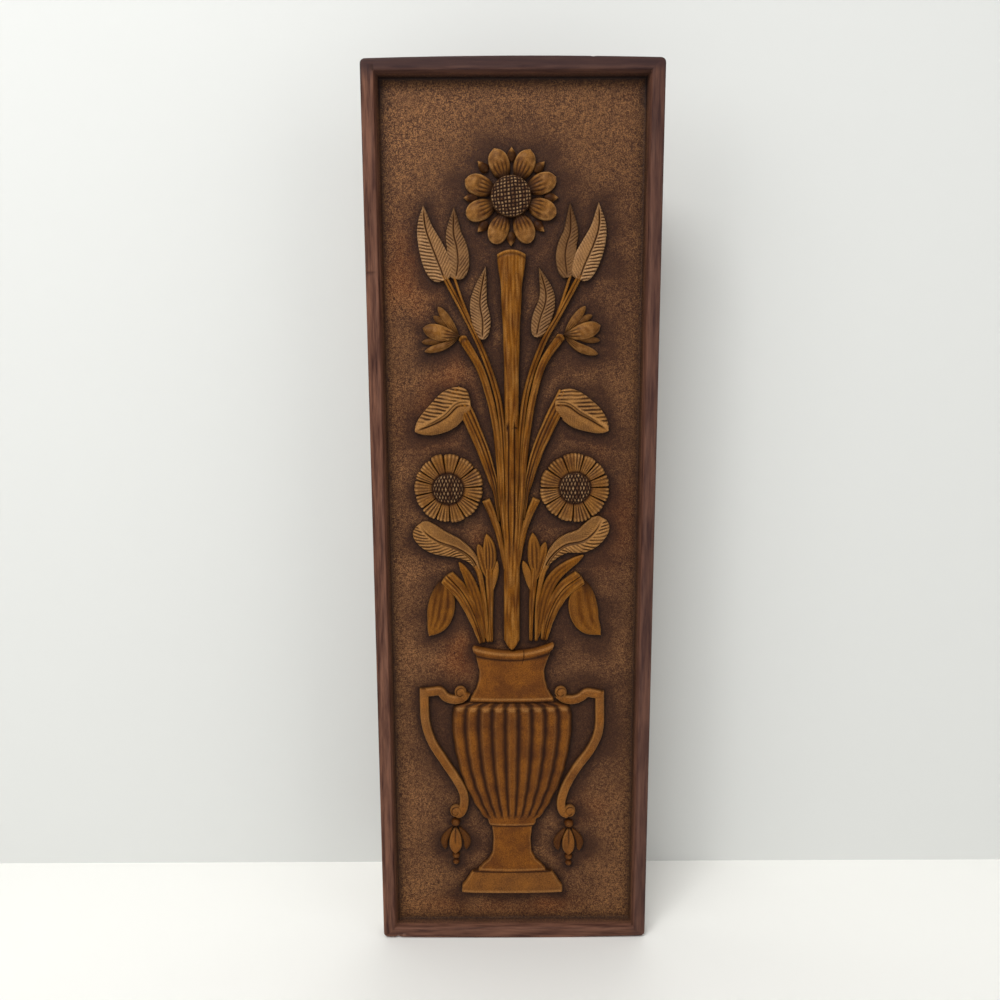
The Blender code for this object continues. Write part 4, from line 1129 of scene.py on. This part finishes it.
def carveUrn(form):
    top, bottom = urn["profile"][0][0], urn["profile"][-1][0]
    rows = round((top - bottom) / urn["cell"])
    widest = max(row[1] for row in urn["profile"])
    columns = 2 * round(widest / urn["cell"])
    corners = bmesh.ops.create_grid(form, x_segments=columns, y_segments=rows, size=1.0)["verts"]
    for corner in corners:
        side = math.copysign(1 - (1 - abs(corner.co.x)) ** 1.2, corner.co.x)
        z = bottom + (top - bottom) * (corner.co.y + 1) / 2
        half, middle, edge, flute = urnRow(z)
        reed = math.pi * urn["reeds"] * (side + 1) / 2
        valley = abs(math.cos(reed)) ** 3.4
        gap = (1 - abs(side)) * half
        height = edge + (middle - edge) * max(0.0, 1 - side ** 2) ** 0.6 - 1.25 * flute * valley
        groove = 0.95 * valley ** 1.2 * clamp(flute / 0.08)
        ridge = band(valley, 0.20, 0.12) * clamp(flute / 0.08)      # the reeds' lit shoulders
        worn = 0.12 + 0.25 * ridge * (side * math.copysign(1, math.sin(2 * reed)) < 0)
        worn += 0.5 * band(gap, 0.9, 0.8)
        if flute > 0.0 and z > urn["flutesFrom"]:
            arch = clamp((-189.2 - z) / 6.5)
            cap = clamp((1 - valley) * 1.6 - (1 - arch) ** 2 * 1.2 + 0.25)
            height *= 0.80 + 0.20 * cap
            groove = max(groove, 0.85 * (1 - cap))
            worn += 0.75 * (1 - valley) ** 2 * band(z, -194.2, 1.3)
        # under each moulding: glaze in its groove, painted darker as painted shadow
        for line, wide in urn["darkLines"].items():
            groove = max(groove, band(z, line, wide))
        for line, wide in urn["litLines"].items():
            worn = max(worn, band(z, line, wide) * (0.9 - 0.4 * valley * (1 if flute else 0)))
        x = urn["axis"] + half * side + carving["wander"] * ripple(z, side, 9.0, 4.0)
        split = urn["split"]
        opened = band(x, split["at"] + split["turn"] * (z + 135), split["half"])
        opened *= ease((z - split["foot"]) / 6)
        groove = max(groove, opened)
        height -= split["depth"] * opened
        round_ = lip(gap, 1.2 if urn["waist"][0] <= z <= urn["waist"][1] else 2.0)
        ends = min(lip(top - z, 1.2), lip(z - bottom, 1.4))
        height = rolled(height, min(round_, ends)) + carving["chatter"] * ripple(x, z, 4.0, 2.0)
        onLip = ease((z - urn["lipFoot"] + 7) / 7)
        if z < urn["baseTop"]:
            worn += 0.22
            groove = max(groove, 0.12)
        lift = urn["lipRise"][side > 0] * side ** 2 * onLip
        corner.co = place(x + urn["lipShift"] * onLip, z + lift, height)
        mark(form, corner, groove, worn, 0.25 * (1 - round_))
    sink(form, corners)


urnForm = newForm()
carveUrn(urnForm)
finishPiece("urn", urnForm, woods["urnWood"])
print("urn carved")


# Handles: a stepped bar that ends in a scroll by the neck, and a long sweep to a lower scroll
handles = {
    "left": {
        "bar": [(-97, -176), (-88, -175), (-79, -174.5), (-73, -181), (-64, -184), (-55, -182),
                (-50.5, -175)],
        "sweep": [(-96, -171), (-96, -190), (-95, -210), (-89, -231), (-77, -252), (-64, -273),
                  (-55.5, -290), (-54.5, -304), (-58, -314), (-64, -316)],
        "upperEye": (-57, -175.5), "lowerEye": (-63.5, -312), "tassel": (-64, -326),
    },
    "right": {
        "bar": [(93, -179.5), (85, -177.5), (78, -177), (72, -181.5), (64, -184.5), (55, -183.5),
                (47.5, -178)],
        "sweep": [(92, -175), (92.5, -195), (92.5, -212), (90, -226), (82, -243), (68.5, -262),
                  (58, -281), (52, -300), (53.5, -313), (60.5, -317)],
        "upperEye": (50.5, -176), "lowerEye": (61, -312.5), "tassel": (60.5, -328),
    },
    "half": 4.8, "height": 0.50, "fall": 0.30,
    "scroll": 6.4, "scrollHeight": 0.60, "scrollBrim": 0.60, "scrollTurns": 1.5, "scrollCut": 0.20,
}
tassels = {
    "beads": [(0.0, 5.0, 0.44), (-39.5, 4.3, 0.36), (-47.5, 3.6, 0.28)],      # drop, radius, height
    "petals": [(-12.4, 0.28, 3.8), (12.0, 0.28, 3.8), (-0.4, 0.48, 6.9)],     # side step, height, half width
    "drop": (-6.0, -35.0), "fullness": (0.7, 0.4), "spread": (0.3, 0.95), "lift": 0.3,
    "beadBrim": 0.35, "beadSquash": 0.9,
}


def handleSection(here):
    height = handles["height"] * (1 - handles["fall"] * abs(here.side) ** 2.4)
    worn = 0.25 + 0.4 * clamp(ripple(here.x, here.z, 22.0, 18.0) + 0.2)
    return height, 0.0, worn + 0.75 * band(here.gap, 0.9, 0.7)


def scrollSection(x, z, out):
    # a spiral cut round the eye
    turn = (math.atan2(z, x) / (2 * math.pi) + out * handles["scrollTurns"]) % 1.0
    cut = band(turn, 0.5, 0.10) * ease((out - 0.25) * 4) * ease((0.95 - out) * 8)
    return 1 - handles["scrollCut"] * cut, 0.9 * cut, (0.30 + 0.6 * out ** 3) * (1 - cut)


def tasselSection(height, inMiddle):
    # the middle petal has a slit, and those beside it have stayed darker
    def section(here):
        slit = band(here.across, 0, 0.9) * ease((0.72 - here.share) * 4) if inMiddle else 0.0
        top = height * (1 - 1.3 * carving["edgeFall"] * abs(here.side) ** 2.2)
        top *= (0.72 + 0.28 * ease(here.share * 2.4)) * (1 - 0.12 * slit)
        worn = (0.25 + 0.5 * band(here.gap, 0.8, 0.7)) * (1.0 if inMiddle else 0.45)
        return top, 0.8 * slit if inMiddle else 0.55, worn
    return section


def beadSection(x, z, out):
    return 1.0, 0.25 + 0.4 * out ** 3, 0.35 * (1 - out)


handleForm = newForm()
tasselForm = newForm()
for side in ("left", "right"):
    handle = handles[side]
    for part in ("bar", "sweep"):
        carveStrip(handleForm, handle[part], lambda share: (handles["half"],) * 2, handleSection)
    for part in ("upperEye", "lowerEye"):
        carveDome(handleForm, handle[part], handles["scroll"], handles["scrollHeight"], handles["scrollBrim"],
                  scrollSection)
    axis, top = handle["tassel"]
    first, last = tassels["spread"]
    for step, height, half in tassels["petals"]:
        guide = [(axis + first * step, top + tassels["drop"][0]),
                 (axis + step, top + sum(tassels["drop"]) / 2),
                 (axis + last * step, top + tassels["drop"][1] + tassels["lift"] * abs(step))]
        carveStrip(tasselForm, guide,
                   lambda share: (half * swell(share, *tassels["fullness"]),) * 2,
                   tasselSection(height, abs(step) < half), ends=False)
    for drop, radius, height in tassels["beads"]:
        carveDome(tasselForm, (axis, top + drop), radius, height, tassels["beadBrim"], beadSection,
                  squash=tassels["beadSquash"])
finishPiece("urn_handles", handleForm, woods["urnWood"])
finishPiece("tassels", tasselForm, woods["urnWood"])
print("handles and tassels carved")


# The board: rim, leaning walls, stippled ground, sides and back in one closed skin

def rimStations():
    # from the outer edge inwards: distance from the edge, and depth behind the rim's face
    outer, inner, foot = board["edgeRound"], board["innerRound"], board["footRound"]
    arris = Vector((board["rim"], 0.0))
    corner = Vector((board["rim"] + board["wallRun"], board["fieldDepth"]))
    along = (corner - arris).normalized()
    faceEnd = arris - Vector((0.5 * inner, 0.0))
    wallStart = arris + along * inner
    wallEnd = corner - along * foot
    groundStart = corner + Vector((foot, 0.0))
    arris = arris.lerp(faceEnd.lerp(wallStart, 0.5), 0.45)       # worn

    def bend(start, middle, end, share):
        return (1 - share) ** 2 * start + 2 * share * (1 - share) * middle + share ** 2 * end

    stations = []
    for step in range(4):
        angle = math.pi / 2 * step / 4
        stations.append(Vector((outer * (1 - math.cos(angle)), outer * (1 - math.sin(angle)))))
    stations += [Vector((outer, 0.0)).lerp(faceEnd, step / 5) for step in range(5)]
    stations += [bend(faceEnd, arris, wallStart, step / 2) for step in range(3)]
    stations += [wallStart.lerp(wallEnd, step / 3) for step in range(1, 4)]
    # glaze has rounded the foot of the wall
    stations += [bend(wallEnd, corner, groundStart, step / 3) for step in range(1, 4)]
    return stations


def gatherOutlines():
    # the walls of every carved form, at the ground, for the dark glaze that collects round them
    spots = []
    for name in pieceNames:
        mesh = bpy.data.objects[name].data
        low = mesh.attributes["low"].data
        for edge in mesh.edges:
            one, two = edge.vertices
            if (low[one].value > 0.9) != (low[two].value > 0.9):
                spots.append(mesh.vertices[two].co)
    tree = KDTree(len(spots))
    for count, spot in enumerate(spots):
        tree.insert((spot.x, 0.0, spot.z), count)
    tree.balance()
    return tree


def makeBoard():
    stations = rimStations()
    halfX, halfZ = board["width"] / 2, board["height"] / 2
    inset = stations[-1][0]
    cellsX = round(2 * (halfX - inset) / board["pitch"])
    cellsZ = round(2 * (halfZ - inset) / board["pitch"])
    last = len(stations) - 1

    def lay(index, cells, half):
        # where a grid line runs, and which station it is
        total = cells + 2 * last
        near = min(index, total - index)
        if near <= last:
            distance = stations[near][0]
        else:
            distance = inset + (near - last) * 2 * (half - inset) / cells
        return (-half + distance if index * 2 <= total else half - distance), min(near, last)

    form = newForm()
    glaze, shadeMask, rustyMask, frameMask, endRim = (
        form.verts.layers.float.new(name) for name in ("glaze", "shade", "rusty", "frame", "endRim"))
    columns, rows = cellsX + 2 * last, cellsZ + 2 * last
    corners = bmesh.ops.create_grid(form, x_segments=columns, y_segments=rows, size=1.0)["verts"]
    outlines = gatherOutlines()
    radius = board["cornerRadius"]
    for corner in corners:
        x, stepX = lay(round((corner.co.x + 1) / 2 * columns), cellsX, halfX)
        z, stepZ = lay(round((corner.co.y + 1) / 2 * rows), cellsZ, halfZ)
        station = min(stepX, stepZ)
        depth = stations[station][1]
        edge = min(halfX - abs(x), halfZ - abs(z))          # distance inside the outer edge
        u = 1 - (halfX - abs(x)) / radius
        v = 1 - (halfZ - abs(z)) / radius
        if u > 0 and v > 0:                                 # square corner blocks become round ones
            shrink = max(u, v) / math.hypot(u, v)
            x = math.copysign(halfX - radius * (1 - u * shrink), x)
            z = math.copysign(halfZ - radius * (1 - v * shrink), z)
        droop = board["endCrown"] * min(1.0, abs(x) / (halfX - radius)) ** 2
        z -= math.copysign(droop * ease((abs(z) - halfZ + board["rim"]) / board["rim"]), z)
        y = -board["thickness"] + depth
        groove, worn = 0.0, 0.0
        if station == last:
            x += board["jitter"] * ripple(x, z, 0.0013, 1.0)
            z += board["jitter"] * ripple(x, z, 0.0013, 7.0)
            punch = ripple(x, z, 0.0045, 3.0) + ripple(x, z, 0.0026, 4.0)
            y -= board["stipple"] * punch + board["hollows"] * ripple(x, z, 0.018, 6.0)
            groove = clamp(0.18 - 0.5 * punch)
            worn = clamp(0.7 * punch)
        elif depth < 0.0002:
            y += board["rimWander"] * (0.5 + 0.5 * ripple(x * 3, z * 3, 0.05, 8.0))
            worn = 0.10 * band(station, 8, 0.5) * clamp(0.5 + 2 * ripple(x, z, 0.03, 13.0))
        for chipX, chipZ, wide, tall, deep, dark in board["chips"] if station < last else ():
            away = math.hypot((x - chipX) / wide, (z - chipZ) / tall)
            bite = math.exp(-away ** 4)
            y += deep * bite * (1 - depth / board["fieldDepth"])
            groove = max(groove, dark * bite)
            worn = max(worn, -dark * bite)
        spot, _, near = outlines.find((x, 0.0, z))
        # the glaze and the shade are painted darker on the side below and right of each form: painted shadow
        under = clamp((spot.z - z - 0.3 * (spot.x - x)) / max(near, 1e-6), -1.0, 1.0)
        patchy = 1 + 0.8 * ripple(x, z, 0.025, 11.0)
        halo = (0.68 + 0.30 * under) * math.exp(-near / board["haloReach"])
        shade = (0.92 + 0.20 * under) * patchy * math.exp(-near / board["shadeReach"])
        # painted shade: the ground darker towards the right
        shade += board["rightShade"] * ease((x + 0.02) / 0.14) * ease((z + 0.42) / 0.2)
        # painted shade round the crown, inside the handles and in other enclosed places
        shade += sum(spot[4] * spotAt(x, z, spot) for spot in board["darkSpots"])
        # painted shadow under the top rail: near the top the walls' glaze reaches further and is darker
        atTop = ease((z - board["topFrom"]) / board["topRun"])
        fromWall = max(edge - board["rim"] - board["wallRun"], 0.0)
        wallShade = math.exp(-fromWall / (board["wallReach"] + board["topReach"] * atTop))
        wallShade *= board["wallStain"] + board["topStain"] * atTop
        wallShade *= clamp(depth / board["fieldDepth"] * 1.3)
        corner.co = (x, y, z)
        corner[glaze] = clamp(max(halo if station == last else 0.0, wallShade))
        corner[shadeMask] = clamp(shade, 0.0, board["darkest"])
        corner[rustyMask] = max(spotAt(x, z, spot) for spot in board["rustySpots"])
        corner[frameMask] = 1 - ease((depth / board["fieldDepth"] - 0.25) / 0.6)
        corner[endRim] = 1.0 if halfZ - abs(z) < halfX - abs(x) else 0.0
        mark(form, corner, groove, worn)

    # the sides and the round at the back: each ring's y, its step inwards, and whether it is the back's
    roundEdge = board["edgeRound"]
    rings = [(2.2 * roundEdge - board["thickness"], 0.0, False), (-roundEdge, 0.0, False),
             (-0.3 * roundEdge, 0.3 * roundEdge, True), (0.0, 0.7 * roundEdge, True)]
    border = [edge for edge in form.edges if edge.is_boundary]
    for y, inwards, onBack in rings:
        grown = bmesh.ops.extrude_edge_only(form, edges=border)["geom"]
        border = [item for item in grown if isinstance(item, bmesh.types.BMEdge)]
        for item in grown:
            if isinstance(item, bmesh.types.BMVert):
                item.co.y = y
                item.co.x -= math.copysign(inwards, item.co.x)
                item.co.z -= math.copysign(inwards, item.co.z)
                mark(form, item, 0.0, 0.0)
                item[frameMask] = 1.0
                for layer in (glaze, shadeMask, rustyMask) + ((endRim,) if onBack else ()):
                    item[layer] = 0.0
    bmesh.ops.contextual_create(form, geom=border)
    return form


boardLooks = {
    "Wood": colour(112, 75, 48), "Deep": colour(86, 54, 38), "Glaze": colour(26, 15, 13),
    "Bare": colour(150, 106, 66), "Streak Scale": 300.0, "Patch Scale": 11.0, "Speckle Scale": 520.0,
    "Streak Depth": 0.25, "Patch Depth": 0.60, "Speckle Depth": 0.15, "Wear Amount": 0.45,
    "Glaze Amount": 0.60, "bump": 0.3,
    "pit": colour(36, 20, 14), "crest": colour(176, 124, 74), "pitDepth": 0.90, "crestLight": 0.68,
    "punchBump": 0.60, "punchHeight": 0.0012,
    "rim": colour(118, 80, 63), "rimStreak": colour(56, 33, 28), "rimTop": colour(54, 38, 38),
    "rimCrest": colour(140, 106, 90),
    "back": colour(124, 92, 64), "backStreak": colour(98, 68, 46),        # hardly stained
    "rusty": colour(124, 64, 24), "rustyAmount": 0.82, "shade": colour(50, 28, 19), "gloss": 0.10,
    # where the frame darkens along its top rail, where its right side is painted darker as painted shade, and
    # where the back's bare wood begins: from, to, how much
    "topDark": (0.436, 0.450, 0.85), "rightDark": (0.128, 0.136, 0.45), "backFrom": (-0.0022, -0.0006),
}


def makeBoardWood():
    looks = boardLooks
    material, tree, where, grain, stained, grainNormal = woodMaterial("groundWood", looks)
    masks = {name: readMask(tree, name)
             for name in ("glaze", "shade", "rusty", "frame", "endRim", "groove", "worn")}
    # rust-coloured clouds on the ground
    clouds = combine(tree, "MULTIPLY", ramp(tree, cloudy(tree, where, 12.0, 3.0), 0.40, 0.62), masks["rusty"])
    clouds = combine(tree, "MULTIPLY", clouds, looks["rustyAmount"])
    rusty = mixColours(tree, clouds, stained, looks["rusty"])
    # punch marks: glaze in the pits, rubbed crests
    punch = placeGroup(tree, punchGroup, looks, Vector=where)
    pits = combine(tree, "MULTIPLY", punch["Pit"], looks["pitDepth"])
    crests = combine(tree, "MULTIPLY", punch["Crest"], looks["crestLight"])
    punched = mixColours(tree, crests, mixColours(tree, pits, rusty, looks["pit"]), looks["crest"])
    shaded = mixColours(tree, masks["shade"], punched, looks["shade"])
    glazed = mixColours(tree, masks["glaze"], shaded, looks["Glaze"])
    # the frame's streaks run along each of its four sides
    turned = addNode(tree, "ShaderNodeMapping", {"Vector": where, "Rotation": (0.0, math.pi / 2, 0.0)})
    crossGrain = placeGroup(tree, grainGroup, looks, Vector=turned.outputs["Vector"])
    streaks = mixValues(tree, masks["endRim"], grain["Streak"], crossGrain["Streak"])
    rimWood = mixColours(tree, streaks, looks["rim"], looks["rimStreak"])
    position = addNode(tree, "ShaderNodeSeparateXYZ", {"Vector": where}).outputs
    # the rim darker along its top rail, and on its right side as painted shade
    topDark, rightDark = (ramp(tree, position[axis], low, high, 0.0, much) for axis, (low, high, much)
                          in (("Z", looks["topDark"]), ("X", looks["rightDark"])))
    rimWood = mixColours(tree, combine(tree, "MAXIMUM", topDark, rightDark), rimWood, looks["rimTop"])
    backWood = mixColours(tree, grain["Streak"], looks["back"], looks["backStreak"])
    rimWood = mixColours(tree, ramp(tree, position["Y"], *looks["backFrom"]), rimWood, backWood)
    rimWood = mixColours(tree, masks["worn"], rimWood, looks["rimCrest"])
    rimWood = mixColours(tree, masks["groove"], rimWood, looks["pit"])
    # the punch marks shade as well
    flat = ramp(tree, masks["frame"], 0.0, 1.0, 1.0, 0.12)
    dents = addNode(tree, "ShaderNodeBump", {
        "Strength": looks["punchBump"], "Distance": looks["punchHeight"], "Normal": grainNormal,
        "Height": combine(tree, "MULTIPLY", punch["Height"], flat),
    })
    feed(tree.nodes["Principled BSDF"], {
        "Base Color": mixColours(tree, masks["frame"], glazed, rimWood), "Normal": dents.outputs["Normal"],
    })
    return material


boardForm = makeBoard()
finishPiece("carved_board", boardForm, makeBoardWood(), sharp=40)
print("board cut")


# Floor, backdrop, lights and camera

studio = {
    "floor": colour(238, 237, 232), "wall": colour(216, 217, 214), "wallGap": 0.119, "sheet": 3.0,
    # name: power, size, place and what it points at
    "lights": {
        "top_window": (56.0, (1.3, 0.8), (-0.75, -1.8, 2.4), (0, 0, 0.05)),
        "left_window": (14.0, (1.2, 1.6), (-1.5, -1.5, 0.9), (0, 0, 0)),
        "right_fill": (10.0, (1.6, 1.6), (1.7, -1.5, 0.4), (0, 0, 0)),
        "behind": (10.0, (1.6, 1.6), (0.4, 1.6, 0.9), (0, 0, 0)),
    },
    "sky": 0.33, "skyTint": (0.97, 0.98, 1.0, 1.0),
    "lens": 0.833 * 36, "cameraAt": (-0.01389, -0.8685, 0.1654), "tiltDown": 8.86, "roll": -0.23,
}


def plainMaterial(name, tint, oneSided=False):
    material = bpy.data.materials.new(name)
    material.use_nodes = True
    tree = material.node_tree
    surface = tree.nodes["Principled BSDF"]
    feed(surface, {"Base Color": tint, "Roughness": 0.85})
    if oneSided:          # seen through from behind, so the plaque's back can be looked at
        facing = addNode(tree, "ShaderNodeNewGeometry").outputs["Backfacing"]
        shadow = addNode(tree, "ShaderNodeLightPath").outputs["Is Shadow Ray"]
        clear = addNode(tree, "ShaderNodeBsdfTransparent").outputs["BSDF"]
        mix = addNode(tree, "ShaderNodeMixShader", {"Fac": combine(tree, "MAXIMUM", facing, shadow),
                                                    1: surface.outputs["BSDF"], 2: clear})
        feed(tree.nodes["Material Output"], {"Surface": mix.outputs["Shader"]})
    return material


def makeStage():
    size = studio["sheet"]
    floorLevel = cadBox[0].z
    for name, half, turn, spot, tint, oneSided in (
            ("floor", size, 0.0, (0, 0, floorLevel), studio["floor"], False),
            ("backdrop", size / 2, math.pi / 2, (0, studio["wallGap"], floorLevel + size / 2), studio["wall"],
             True)):
        form = bmesh.new()
        bmesh.ops.create_grid(form, x_segments=1, y_segments=1, size=half)
        turned = Matrix.Translation(spot) @ Euler((turn, 0, 0)).to_matrix().to_4x4()
        bmesh.ops.transform(form, matrix=turned, verts=form.verts[:])
        mesh = bpy.data.meshes.new(name)
        form.to_mesh(mesh)
        form.free()
        mesh.materials.append(plainMaterial(name, tint, oneSided))
        addToScene(name, mesh)


def addLight(name, power, size, spot, target):
    lamp = bpy.data.lights.new(name, "AREA")
    lamp.energy = power
    lamp.shape = "RECTANGLE"
    lamp.size, lamp.size_y = size
    holder = addToScene(name, lamp)
    holder.location = spot
    holder.rotation_euler = (Vector(target) - Vector(spot)).to_track_quat("-Z", "Y").to_euler()


makeStage()
for name, values in studio["lights"].items():
    addLight(name, *values)
world = bpy.data.worlds.new("studio")
world.use_nodes = True
feed(world.node_tree.nodes["Background"], {"Color": studio["skyTint"], "Strength": studio["sky"]})
bpy.context.scene.world = world
bpy.context.scene.view_settings.view_transform = "Standard"

lens = bpy.data.cameras.new("camera")
lens.sensor_width = 36
lens.lens = studio["lens"]
camera = addToScene("camera", lens)
camera.location = studio["cameraAt"]
tilt = Euler((math.radians(90 - studio["tiltDown"]), 0, 0)).to_matrix()
camera.rotation_euler = (tilt @ Euler((0, 0, math.radians(studio["roll"]))).to_matrix()).to_euler()
bpy.context.scene.camera = camera
print("studio set")
